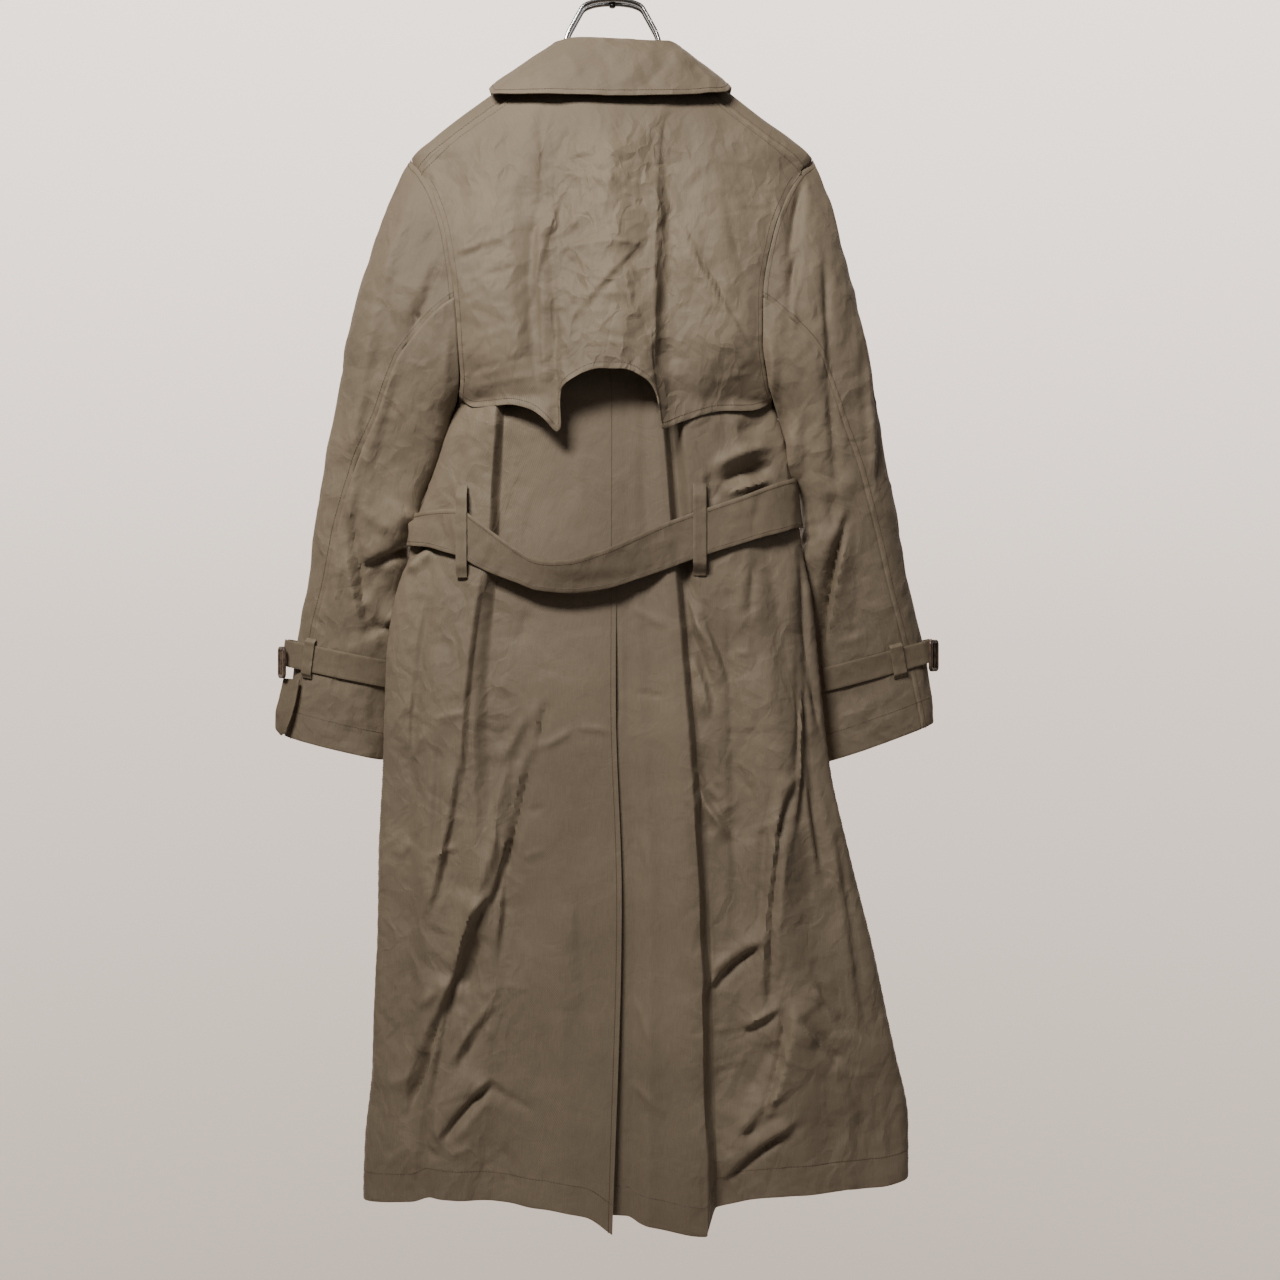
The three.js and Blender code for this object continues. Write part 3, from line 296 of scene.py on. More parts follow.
def section(z):
    """left, right, then side, middle and fullness of the back and of the front, at a height."""
    return np.moveaxis(through(SECTIONS[:, 0], SECTIONS[:, 1:], np.asarray(z, float)), -1, 0)


def share_across(x, left, right):
    """-1 at the left side, 0 in the middle and 1 at the right side."""
    return (x - (left + right) / 2) * 2 / (right - left)


def back_y(x, z):
    left, right, side, middle, power = section(z)[:5]
    across = np.clip(share_across(x, left, right), -1, 1)
    return mix(side, middle, (1 - across**2) ** power)


def front_y(x, z):
    left, right, _, _, _, side, middle, power = section(z)
    across = np.clip(share_across(x, left, right), -1, 1)
    soft = 2.2 * np.sin(x / 21 + z / 160) * ease(-520, -760, z) * (1 - across**4)
    return mix(side, middle, (1 - across**2) ** power) + soft


def ridge_z(x):
    """The height of the shoulder ridge at a distance across."""
    ridge = SECTIONS[:6]
    left, right = np.interp(-x, -ridge[:, 1], ridge[:, 0]), np.interp(x, ridge[:, 2], ridge[:, 0])
    return np.where(x < 0, left, right)


def along_line(x, z, row):
    """Where points lie by a bowed line: how far along it, 0 to 1, and how far to its left."""
    x0, z0, x1, z1, bow = row[:5]
    run_x, run_z = x1 - x0, z1 - z0
    length = math.hypot(run_x, run_z)
    along = ((x - x0) * run_x + (z - z0) * run_z) / length**2
    return along, ((x - x0) * run_z - (z - z0) * run_x) / length - 4 * bow * along * (1 - along)


def creased(x, z, rows):
    """How far creases lift the cloth. Each is a ridge, or a trough below 0, along a bowed line."""
    rise = np.zeros(np.broadcast(x, z).shape)
    for row in rows:
        width, height = row[5:]
        along, off = along_line(x, z, row)
        taper = ease(-0.02, 0.3, along) * ease(1.02, 0.7, along)
        rise += height * taper * np.exp(-np.abs(off / width) ** 1.5)
    return rise


def tucked(x, z, rows):
    """How far folds lift the cloth. Each climbs gently on one side of its line and drops steeply
    past the line into a narrow hollow. A height below 0 turns it over to the line's other side."""
    rise = np.zeros(np.broadcast(x, z).shape)
    for row in rows:
        width, height = row[5:]
        along, off = along_line(x, z, row)
        off = off * np.sign(height)
        taper = ease(-0.03, 0.2, along) * ease(1.03, 0.75, along)
        climb = np.exp(-np.maximum(off, 0) / width) * ease(-2.4 - 0.4 * abs(height), 1.4, off)
        hollow = 0.42 * np.exp(-((off + 6) / 4) ** 2)
        rise += abs(height) * taper * (climb - hollow)
    return rise


def mirrored(rows):
    """The same creases on the coat's other face, a little lower."""
    return [(-x0, z0, -x1, z1, -bow, width, height * 0.8) for x0, z0, x1, z1, bow, width, height in rows]


def crinkles(seed, count, box, longest=55, highest=1.1):
    """Short pressed-in creases scattered over a box (left, right, top, bottom)."""
    chance = np.random.default_rng(seed)
    rows = []
    for _ in range(count):
        x, z = chance.uniform(box[0], box[1]), chance.uniform(box[3], box[2])
        angle, length = chance.uniform(0, math.pi), chance.uniform(0.3, 1) * longest
        rows.append((x, z, x + length * math.cos(angle), z + length * math.sin(angle),
                     chance.uniform(-0.12, 0.12) * length, chance.uniform(1.8, 4.2),
                     chance.uniform(0.35, 1) * highest * chance.choice([-1, 1])))
    return rows


def facets(x, z, seed, size, height):
    """Crumpled cloth: flat facets that meet in sharp folds, between random heights on a lattice
    of triangles whose rows wander."""
    chance = np.random.default_rng(seed)
    heights = chance.uniform(-1, 1, (64, 64)) * height
    turn, phase = chance.uniform(0, math.pi), chance.uniform(0, 6.3, 6)
    p = (x * math.cos(turn) + z * math.sin(turn)) / size
    q = (z * math.cos(turn) - x * math.sin(turn)) / size
    p, q = (p + 0.5 * np.sin(q * 0.9 + phase[0]) + 0.35 * np.sin(q * 2.1 + p * 0.7 + phase[1]),
            q + 0.5 * np.sin(p * 1.1 + phase[2]) + 0.35 * np.sin(p * 1.9 - q * 0.8 + phase[3]))
    i, j = np.floor(p).astype(int), np.floor(q).astype(int)
    a, b = p - i, q - j
    low, far, side, up = (heights[(i + di) % 64, (j + dj) % 64] for di, dj in ((0, 0), (1, 1), (1, 0), (0, 1)))
    return np.where(a > b, low + a * (side - low) + b * (far - side), low + b * (up - low) + a * (far - up))


def swell(x, z, seed, size, height):
    """Slow random unevenness of hanging cloth."""
    chance = np.random.default_rng(seed)
    rise = 0
    for _ in range(7):
        angle, pitch = chance.uniform(0, math.pi), size * chance.uniform(0.7, 1.6)
        wave = (x * math.cos(angle) + 0.55 * z * math.sin(angle)) * 2 * math.pi / pitch
        rise = rise + np.sin(wave + chance.uniform(0, 6.3))
    return rise * height / 3


def fine(first, last, count, edge=0.022):
    """Steps from first to last, closer together near both ends."""
    ends = np.array([0, 0.25, 0.5, 0.75]) * edge
    steps = np.concatenate([ends, np.linspace(edge, 1 - edge, count), 1 - ends[::-1]])
    return first + (last - first) * steps


def mesh_piece(name, points, faces, material):
    """A smooth mesh object from points in millimetres."""
    mesh = bpy.data.meshes.new(name)
    mesh.from_pydata((np.asarray(points) / 1000).tolist(), [], faces)
    mesh.materials.append(material)
    mesh.polygons.foreach_set("use_smooth", [True] * len(mesh.polygons))
    made = bpy.data.objects.new(name, mesh)
    scene.collection.objects.link(made)
    return made


def between_neighbours(face):
    """Lengths along a grid's rows and down its columns, from its left and from its top edge."""
    across, down = np.zeros(face.shape[:2]), np.zeros(face.shape[:2])
    across[:, 1:] = np.cumsum(np.linalg.norm(np.diff(face, axis=1), axis=2), axis=1)
    down[1:] = np.cumsum(np.linalg.norm(np.diff(face, axis=0), axis=2), axis=0)
    return across, down


def edge_finish(across, down, inside, rise, seams, hems):
    """Cloth sinks and puckers beside its seams, and is doubled and stitched at its hems."""
    for edge in seams:
        rise *= 0.3 + 0.7 * ease(0, 16, inside[edge])
    for edge in seams:
        far, run = inside[edge], down if edge in "lr" else across
        rise += PUCKER * np.sin(run / 2.1 + 2 * np.sin(run / 17)) * np.exp(-((far - 5) / 4) ** 2)
        rise -= 0.7 * np.exp(-((far / 1.3) ** 2))
    for edge, width in hems.items():
        far, run = inside[edge], down if edge in "lr" else across
        rise += PUCKER * ease(width + 1.0, width - 1.0, far)
        rise += PUCKER * np.sin(run / 2.6 + 2 * np.sin(run / 23)) * np.exp(-((far - width) / 4) ** 2)
        rise -= 0.5 * np.exp(-((far / 1.0) ** 2))
    return rise


def cloth(name, us, vs, surface, flip, creases=None, seams="", hems=None, material=coat_cloth, wall=CLOTH_WALL,
          busy=lambda x, z: 0.3 + 0 * x):
    """A wall of cloth on surface(u, v). It sinks into its seams (l, r, t or b), and is doubled at
    its hems, which are {edge: width}. creases(points, normals) gives how far it is lifted."""
    face = surface(np.asarray(us, float)[None, :], np.asarray(vs, float)[:, None])
    normal = np.cross(np.gradient(face, axis=1), np.gradient(face, axis=0)) * flip
    normal /= np.maximum(np.linalg.norm(normal, axis=2, keepdims=True), 1e-9)
    across, down = between_neighbours(face)
    hems = hems or {}
    inside = {"l": across, "r": across[:, -1:] - across, "t": down, "b": down[-1:] - down}
    rise = creases(face, normal) if creases else np.zeros(face.shape[:2])
    rise = edge_finish(across, down, inside, rise, seams, hems)
    outer = face + normal * rise[..., None]
    inner = outer - normal * wall

    # the outer and the inner face, and the four edges between them
    rows, columns = face.shape[:2]
    count = rows * columns
    at = np.arange(count).reshape(rows, columns)
    top = np.stack([at[:-1, :-1], at[:-1, 1:], at[1:, 1:], at[1:, :-1]], -1).reshape(-1, 4)
    quads = [top, top[:, ::-1] + count]
    for edge in (at[0, ::-1], at[:, 0], at[-1], at[::-1, -1]):
        quads.append(np.stack([edge[:-1], edge[1:], edge[1:] + count, edge[:-1] + count], -1))
    quads = np.concatenate(quads)
    if flip < 0:
        quads = quads[:, ::-1]
    points = np.concatenate([outer.reshape(-1, 3), inner.reshape(-1, 3)])
    piece = mesh_piece(name, points, quads.tolist(), material)
    mesh = piece.data
    mesh.set_sharp_from_angle(angle=math.radians(60))

    # the cut's own coordinates in metres, and how rubbed and how crumpled each point is
    spread = np.tile(np.stack([across, down], -1).reshape(-1, 2) / 1000, (2, 1))
    loops = np.zeros(len(mesh.loops), np.int32)
    mesh.loops.foreach_get("vertex_index", loops)
    mesh.uv_layers.new(name="cut").data.foreach_set("uv", spread[loops].astype(np.float32).ravel())
    near = np.min([inside[e] for e in [*hems, *seams]] or [across * 0 + 99], axis=0)
    rub = 0.25 * np.exp(-((near / 2.2) ** 2)) + 0.05 * np.clip(rise, 0, 4)
    for key, values in (("rub", rub), ("busy", busy(face[..., 0], face[..., 2]))):
        values = np.tile(values.ravel(), 2).astype(np.float32)
        mesh.attributes.new(key, "FLOAT", "POINT").data.foreach_set("value", values)
    return {"piece": piece, "outer": outer, "normal": normal, "inside": inside}


def built_in(piece, slot_name, *nodes):
    """The piece rides with the coat and stands for its solids."""
    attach(piece, "root")
    if nodes:
        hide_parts(*nodes)


# ------------------------------------------------------------------ back
# Two panels of gabardine joined by the centre back seam, which opens below the seat into a long
# vent. Deep hanging folds start at the belt; the left side panel stands before the recessed centre.
FOLD_HEIGHTS = [-480, -645, -784, -982, HEM_LEVEL]
SIDE = None  # this fold line is the panel's side seam
BACK_LEFT_FOLDS = [
    # across at the five heights, proud at the five heights
    (SIDE, [0, 0, 0, 0, 0]),
    ([-140, -186, -203, -207, -203], [2, 2, -2, -4, -5]),
    ([-128, -158, -172, -176, -160], [6, 7, 7, 8, 9]),
    ([-116, -126, -142, -140, -110], [9, 9, 8, 5, -4]),
    ([-105, -112, -120, -100, -70], [-3, -4, -3, -2, 3]),
    ([-50, -52, -50, -42, -35], [0, 0, 2, 3, 7]),
    ([5, 4.5, 4, 10, 1], [0, 0, 1, 4, 9]),
]
BACK_RIGHT_FOLDS = [
    ([5, 4.5, 4, 10, 1], [0, 0, -4, -5, -5]),
    ([11, 11, 12, 20, 14], [0, 0, -2, -2, -3]),
    ([28, 28, 32, 42, 40], [1, 1, 2, 4, 7]),
    ([46, 60, 71, 85, 93], [5, 7, 9, 12, 16]),
    ([55, 70, 81, 96, 105], [-8, -6, -5, -6, -6]),
    ([71, 85, 108, 116, 124], [9, 3, -2, -4, -4]),
    ([118, 128, 152, 165, 178], [5, 5, 6, 7, 5]),
    ([142, 162, 184, 205, 236], [-2, -3, -4, -4, -6]),
    (SIDE, [0, 0, 0, 0, 0]),
]
VENT_TOP, VENT_LAP = -784, 45
FLAP_SEAM, SHOULDER_ZONE_END, HEM_ZONE_TOP = -168, -320, -900  # heights
BACK_HEM_LEFT = [(-252, -1288), (-199, -1284), (-178, -1275), (-90, -1281), (-26, -1289), (2, -1306)]
BACK_HEM_RIGHT = [(-60, -1290), (14, -1291), (28, -1296), (92, -1305), (104, -1284), (185, -1271),
                  (267, -1271), (298, -1266)]
FLAP_LINES = np.array([
    # across at the hem, height of the hem, stand-off at -253, -330, -400 and the hem
    [-151, -481, 2.6, 2.6, 2.6, 3.8], [-130, -492, 3, 4, 5, 8], [-104, -492, 4, 6, 9, 15],
    [-80, -498, 5, 7, 10, 20], [-66, -508, 6, 10, 14, 24], [-53, -521, 4, 6, 10, 22],
    [-48, -482, 3, 5, 12, 28], [-33, -470, 5, 9, 16, 31], [-11, -463, 8, 12, 19, 34],
    [9, -463, 8, 12, 19, 34], [27, -470, 7, 11, 17, 31], [41, -486, 8, 12, 16, 28],
    [47, -519, 9, 13, 17, 24], [66, -510, 3, 4, 6, 14], [102, -498, 4, 5, 6, 9],
    [132, -495, 3, 3, 4, 5], [156, -483, 2.6, 2.6, 2.6, 3.4],
])
SKIRT_FOLDS = [
    # from across, height, to across, height, bow, width, height of the fold
    (-86, -835, -130, -1000, -5, 18, 8), (-102, -885, -115, -1045, 0, 12, 5.5),
    (-126, -975, -156, -1058, 4, 22, 10), (-146, -1036, -206, -1195, 5, 20, 8),
    (-118, -1156, -174, -1218, 2, 16, 8), (-127, -650, -150, -890, 5, 20, 5),
    (-152, -840, -184, -1000, -4, 16, 6), (-186, -680, -203, -850, 3, 20, 3),
    (-158, -1056, -180, -1160, 0, 14, 5), (-176, -1140, -196, -1275, 3, 18, 5),
    (-70, -785, -80, -850, 0, 10, 3), (-40, -980, -30, -1090, 0, 30, 1.6),
    (184, -630, 177, -930, -8, 26, 8), (188, -770, 209, -980, 4, 16, 5.5),
    (82, -700, 112, -770, -4, 11, 5.5), (80, -742, 98, -802, -3, 9, 4),
    (86, -872, 120, -922, 2, 11, 5.5), (84, -850, 104, -882, 2, 8, 3),
    (150, -1020, 90, -1074, 3, 18, 6.5), (182, -1196, 106, -1258, 3, 20, 7.5),
    (168, -1170, 124, -1214, 3, 14, 5.5), (166, -1085, 126, -1112, 0, 12, 4.5),
    (196, -1066, 242, -1130, 0, 16, 5), (180, -1100, 233, -1160, 0, 16, 5.5),
    (178, -1080, 148, -1205, -6, 17, -8), (168, -880, 150, -1100, 5, 16, 7.5),
    (178, -860, 158, -925, 0, 12, 4.5), (222, -920, 250, -1130, 0, 20, 4.5),
    (96, -930, 104, -1270, 0, 16, -3), (112, -680, 119, -1000, 0, 26, 2),
    (-208, -648, -180, -628, 0, 12, 5),
]
SKIRT_HOLLOWS = [
    # from across, height, to across, height, bow, width, depth below 0
    (112, -700, 126, -1285, 0, 30, -3.5),
    (-160, -880, -168, -1285, 0, 24, -3.5),
    (-134, -1000, -150, -1110, 0, 12, -3),
]
SKIRT_CREASES = [
    # from across, height, to across, height, bow, width, height of the ridge
    (-83, -692, -95, -737, 0, 6, -1.8), (-84, -796, -112, -851, 0, 4, 2.2),
    (-77, -800, -101, -858, 0, 3.5, -2), (-66, -784, -75, -831, 0, 3, -2.5),
    (-75, -833, -38, -812, 2, 3, 1.8), (-38, -812, 2, -817, -2, 3, 1.2),
    (-93, -840, -123, -981, -4, 6, -4.5), (-106, -845, -139, -993, -4, 6, 3),
    (-107, -922, -111, -987, 0, 5, -2.5), (-172, -824, -185, -987, -4, 5, -2.5),
    (-179, -804, -141, -796, 0, 3, 1.2), (-182, -812, -201, -849, 0, 4, 1.5),
    (-212, -791, -179, -805, 0, 3, 1), (-182, -944, -151, -927, 0, 3, 2),
    (-216, -944, -198, -925, 0, 4, 1.4), (-123, -968, -157, -1054, 3, 8, 4),
    (-157, -1054, -190, -1091, 0, 6, 3), (-132, -1011, -146, -1075, 0, 9, -5),
    (-110, -1083, -156, -1158, 2, 5, -3), (-118, -1080, -162, -1149, 2, 4, 2),
    (-127, -1165, -171, -1213, 0, 7, -4.5), (-116, -1168, -157, -1219, 0, 8, 2.5),
    (-123, -1165, -74, -1189, 0, 4, -1.5), (-184, -1124, -200, -1192, 0, 5, -3.5),
    (-196, -1119, -208, -1183, 0, 6, 2), (-172, -1060, -178, -1131, 0, 5, -3),
    (-149, -1086, -145, -1128, 0, 4, 2), (-161, -1231, -136, -1223, 0, 4, 1.5),
    (-228, -1250, -198, -1224, 0, 5, 1.5), (-225, -1171, -192, -1155, 0, 5, 1.5),
    (-191, -1227, -169, -1235, 0, 4, -2), (-179, -1198, -164, -1227, 0, 4, 1.6),
    (-90, -1020, -76, -1071, 0, 4, 1), (-38, -1014, -33, -1074, 0, 4, -1),
    (-70, -1099, -69, -1176, 0, 6, -1.2), (-51, -1086, -48, -1159, 0, 6, 1),
    (-21, -1089, -8, -1149, 0, 7, 0.9), (-90, -942, -66, -932, 0, 3, 0.9),
    (-83, -897, -66, -889, 0, 3, -1), (18, -692, 55, -712, 0, 4, 1), (21, -777, 55, -781, 0, 2.5, -0.9),
    (70, -673, 107, -759, -3, 5, 3), (68, -697, 101, -776, -3, 4, -2.6),
    (65, -738, 95, -806, -2, 5, 2.6), (66, -764, 89, -824, -2, 4, -2),
    (143, -639, 136, -707, 0, 5, -2.6), (131, -646, 123, -727, 0, 8, 1.6),
    (114, -673, 133, -707, 0, 6, -1.5), (183, -629, 176, -885, -8, 5, -5),
    (192, -642, 197, -853, 0, 6, 3), (190, -639, 216, -839, 6, 4, -3),
    (120, -738, 140, -738, 0, 3, 1.2), (109, -819, 148, -816, 0, 2, -1),
    (159, -863, 148, -1025, 4, 7, -5), (172, -883, 162, -1035, 0, 6, 3),
    (179, -863, 159, -930, 0, 5, -3), (146, -1027, 97, -1067, 2, 3.5, -2.5),
    (142, -1019, 95, -1057, 2, 4, 1.6), (163, -1089, 129, -1107, 0, 3, 1.8),
    (161, -1114, 131, -1180, 0, 9, -3), (167, -1178, 126, -1209, 0, 4, 2.5),
    (169, -1186, 130, -1217, 0, 4, -2), (173, -1208, 110, -1251, 0, 5, -2.5),
    (198, -1077, 236, -1121, 0, 5, -2), (192, -1119, 229, -1152, 0, 5, -2.5),
    (74, -873, 115, -913, 0, 4, 2.2), (71, -883, 103, -920, 0, 4, -1.6),
    (94, -1112, 134, -1106, 0, 2.5, 1), (94, -1156, 126, -1146, 0, 3, -1),
    (21, -1073, 41, -1127, 0, 4, 1), (18, -1158, 56, -1192, 0, 4, 1), (28, -912, 48, -981, 0, 6, 0.9),
    (218, -1060, 239, -1127, 0, 8, -1.5), (195, -863, 212, -963, 0, 6, -2.5),
    (208, -873, 230, -981, 0, 8, 1.5), (95, -558, 164, -528, -4, 7, 5),
    (103, -571, 164, -550, -3, 5, -5), (109, -581, 162, -563, 0, 5, 4), (94, -560, 103, -589, 0, 4, -3),
    (122, -518, 158, -506, 0, 6, -2), (-100, -528, -95, -626, 0, 8, 1),
    (-31, -528, -34, -617, 0, 9, 0.8), (28, -538, 38, -626, 0, 8, -0.8),
    (-208, -646, -197, -725, 0, 8, 1.2), (-213, -653, -181, -626, 0, 4, -4),
    (-208, -660, -177, -634, 0, 5, 2.5), (-189, -676, -208, -735, 0, 6, -1),
    (-149, -646, -143, -725, 0, 7, -1),
]


def flap_stand(lines, hem, z):
    """How far the flap stands off the back at a height, from its rows of four stand-offs."""
    stand = lines[..., 2]
    for top, low, a, b in ((ARMHOLE_BACK, -330, 2, 3), (-330, -400, 3, 4)):
        at = np.clip((z - top) / (low - top), 0, 1)
        stand = np.where(z < top, mix(lines[..., a], lines[..., b], at), stand)
    at = np.clip((z + 400) / (hem + 400), 0, 1)
    return np.where(z < -400, mix(lines[..., 4], lines[..., 5], at), stand)


def flap_room(x, z):
    """How far the back may stand proud where the storm flap covers it."""
    girth_left, girth_right = section(FLAP_GIRTH)[:2]
    share = share_across(x, *section(z)[:2])
    across = (girth_left + girth_right) / 2 + share * (girth_right - girth_left) / 2
    lines = through(FLAP_LINES[:, 0], FLAP_LINES, across)
    return np.where(z < lines[..., 1] - 6, 99, flap_stand(lines, lines[..., 1], z) - 4)


def hem_drop(hem, x):
    """How far the hem hangs above or below its level, from a table of across and height."""
    return through(*zip(*hem), x) - HEM_LEVEL


def back_surface(folds, edge, hem, lap):
    """The panel's outer face: u runs over its fold lines, v is 1 to 0 down to the shoulder
    zone's end and a height in millimetres below that."""

    def surface(u, v):
        share = np.clip(v, 0, 1)
        key = np.where(v > 0, mix(SHOULDER_ZONE_END, ARMHOLE_BACK, share), np.minimum(v, SHOULDER_ZONE_END))
        left, right = section(key)[:2]
        middle, half = (left + right) / 2, (right - left) / 2
        angles, prouds = [], []
        for k, (across, proud) in enumerate(folds):
            lifted = through(FOLD_HEIGHTS, proud, key)
            if across is SIDE:
                x = left if edge < 0 else right
            else:
                at_start = share_across(across[0], *section(FOLD_HEIGHTS[0])[:2])
                x = np.where(key <= FOLD_HEIGHTS[0], through(FOLD_HEIGHTS, across, key),
                             middle + half * at_start)
                lifted = lifted * ease(-400, FOLD_HEIGHTS[0], key)
            if k == 0 and lap:
                x = x - VENT_LAP * ease(VENT_TOP - 8, VENT_TOP - 60, key)
            angles.append(np.arccos(np.clip((middle - x) / half, -1, 1)))
            prouds.append(lifted)
        angles, prouds = np.concatenate(angles, 1), np.concatenate(prouds, 1)
        k = np.clip(np.floor(u).astype(int), 0, len(folds) - 2)[0]
        part = u - k
        x = middle - half * np.cos(mix(angles[:, k], angles[:, k + 1], part))
        top = np.minimum(FLAP_SEAM, ridge_z(x) - SEAM_DROP - 1.2)
        at_height = key + share * (top - ARMHOLE_BACK)
        z = at_height + hem_drop(hem, x) * ease(HEM_ZONE_TOP, HEM_LEVEL, key)
        proud = mix(prouds[:, k], prouds[:, k + 1], ease(0.1, 0.9, part))
        proud = np.minimum(proud, np.maximum(-1.5, flap_room(x, z)))
        return np.stack([x, back_y(x, at_height) - proud, z], -1)

    return surface


back_crinkles = crinkles(7, 150, (-245, 290, -500, -1290))


def back_busy(x, z):
    """The side panels are crumpled, the middle ones hang nearly smooth."""
    return 0.12 + 0.43 * ease(-70, -110, x) + 0.43 * ease(62, 90, x)


def back_creases(face, normal):
    x, z = face[..., 0], face[..., 2]
    fold_edge = through(FOLD_HEIGHTS, BACK_RIGHT_FOLDS[3][0], z) + 4
    lifted = 1.5 * creased(x, z, SKIRT_CREASES) * (1 - np.exp(-((x - fold_edge) / 9) ** 2))
    lifted = lifted + creased(x, z, SKIRT_HOLLOWS) + tucked(x, z, SKIRT_FOLDS) + swell(x, z, 3, 95, 1.3)
    crumpled = facets(x, z * 0.6, 4, 34, 1.6) + facets(x, z * 0.7, 6, 17, 0.7)
    lifted += back_busy(x, z) * (2 * creased(x, z, back_crinkles) + crumpled)
    under_flap = np.where(z > -505, np.minimum(1, 0.25 + ease(-478, -500, z)), 1)
    return lifted * under_flap * ease(0.05, 0.3, -normal[..., 1])


BACK_ROWS = np.concatenate([fine(1, 0.02, 34), np.linspace(-321, -1284, 322),
                            [-1286, -1287.6, -1288.8, HEM_LEVEL]])
BACK_HEM_WIDTH = 30
left_face = back_surface(BACK_LEFT_FOLDS, -1, BACK_HEM_LEFT, False)
right_face = back_surface(BACK_RIGHT_FOLDS, 1, BACK_HEM_RIGHT, True)
back_left = cloth("back_left_cloth", fine(0, 6, 100), BACK_ROWS, left_face, -1, back_creases, "lt",
                  {"b": BACK_HEM_WIDTH}, busy=back_busy)
back_right = cloth("back_right_cloth", fine(0, 8, 124), BACK_ROWS, right_face, -1, back_creases, "rt",
                   {"b": BACK_HEM_WIDTH}, busy=back_busy)
for panel, side_name in ((back_left, "left"), (back_right, "right")):
    built_in(panel["piece"], "coat_cloth", f"back_{side_name}")


# ------------------------------------------------------------------ storm flap
# A loose cape of the same cloth over the shoulder blades, caught in the neck, shoulder and
# armhole seams. Its hem hangs free, cut to an arch between two points, and stands off the back.
FLAP_CREASES = [
    (-53, -193, -59, -282, 0, 11, -3), (53, -190, 56, -270, 0, 15, -3), (-2, -193, 0, -292, 0, 22, 1.5),
    (-72, -282, -66, -513, 12, 5, -3.5), (-88, -282, -75, -508, 12, 9, 2.5),
    (56, -282, 58, -513, 0, 9, -3), (40, -351, 40, -489, 0, 6, 1.5), (-24, -289, -8, -272, 0, 2.5, 1.2),
    (-8, -272, 20, -284, 0, 2.5, 1.2), (-13, -301, -26, -280, 0, 2.5, -1.2),
    (5, -293, 25, -269, 0, 2.5, -1.5), (5, -292, 35, -299, 0, 2.5, -1.5),
    (-23, -306, -41, -323, 0, 3, 1), (13, -313, 43, -326, 0, 3, 1), (-55, -343, 40, -341, -3, 2.2, 1.6),
    (-48, -390, 38, -387, 2, 2.5, 1.1), (-36, -375, 28, -390, -3, 3, -1),
    (-33, -359, 33, -368, 3, 3, 1), (-41, -408, 28, -415, -3, 3, 1.2),
    (-26, -425, 28, -434, 2, 3, -1.1), (-21, -439, 28, -441, -2, 2.5, 1),
    (-51, -353, -39, -434, 2, 4, -1), (31, -259, 56, -270, 0, 3, -1.5), (56, -270, 70, -249, 0, 3, 1.5),
    (50, -287, 94, -358, 2, 4, 1.7), (94, -358, 148, -455, -3, 5, 1.9),
    (77, -336, 124, -422, 0, 4, -1.3), (70, -390, 117, -466, 3, 3.5, 1.5),
    (117, -467, 132, -447, 0, 3, 1.5), (110, -262, 133, -375, 4, 5, -2.2),
    (122, -303, 158, -297, 0, 3, -1.2), (128, -274, 151, -269, 0, 4, 1),
    (-159, -348, -96, -334, -2, 2.2, 1.3), (-144, -375, -90, -361, 0, 2.5, -0.9),
    (-154, -400, -110, -421, 0, 3, 0.9), (-103, -213, -147, -316, 0, 12, 1.8),
    (-90, -218, -128, -380, 0, 10, -1.6), (-122, -331, -139, -420, 0, 6, 1),
    (-149, -461, -72, -446, 0, 2.5, -1.2), (-149, -475, -70, -465, 0, 2.2, 1),
    (-139, -430, -90, -420, 0, 3, 0.8), (53, -421, 102, -401, 0, 3, -0.8),
    (53, -459, 77, -490, 0, 3, -1.2), (87, -475, 146, -455, 0, 3, 0.9),
]
FLAP_WAVES = [
    # from across, height, to across, height, bow, width, height of the wave
    (0, -190, 2, -470, 0, 27, 6), (-114, -215, -118, -500, 4, 24, 5), (104, -215, 110, -505, -4, 27, 5),
    (-50, -180, -74, -330, 3, 15, -4.6), (-74, -280, -65, -508, 6, 8, -4.2),
    (-90, -270, -84, -500, 4, 7, -2), (60, -180, 54, -360, 0, 17, -4.6), (55, -330, 48, -492, 0, 8, -4),
    (76, -200, 60, -330, 0, 10, -1.5),
]
FLAP_FOLDS = [
    (-50, -287, -82, -400, 0, 12, 2.2), (92, -250, 40, -330, 0, 12, 2), (50, -287, 152, -462, 4, 14, 3),
    (36, -330, -44, -420, 0, 14, 2), (-100, -330, -158, -345, 0, 10, 1.6), (76, -340, 130, -430, 0, 10, 2),
]
flap_crinkles = crinkles(11, 110, (-170, 170, -185, -500), 42, 0.9)


def flap_surface(u, v):
    lines = row_at(FLAP_LINES, u)
    share = np.clip(share_across(lines[..., 0], *section(FLAP_GIRTH)[:2]), -1, 1)
    key = mix(ARMHOLE_BACK, -484, v) + 0 * share
    for _ in range(4):
        left, right = section(key)[:2]
        x = (left + right) / 2 + (right - left) / 2 * share
        top = np.minimum(FLAP_SEAM, ridge_z(x) - SEAM_DROP - 0.6)
        z = mix(top, lines[..., 1], v)
        key = mix(mix(ARMHOLE_BACK, -484, v), np.minimum(z, ARMHOLE_BACK), share**4)
    free = flap_stand(np.broadcast_to(lines, (*z.shape, 6)), lines[..., 1], z)
    stand = mix(2.8, free, np.clip((z - top) / np.minimum(ARMHOLE_BACK - top, -1e-3), 0, 1))
    return np.stack([x, back_y(x, z) - stand, z], -1)


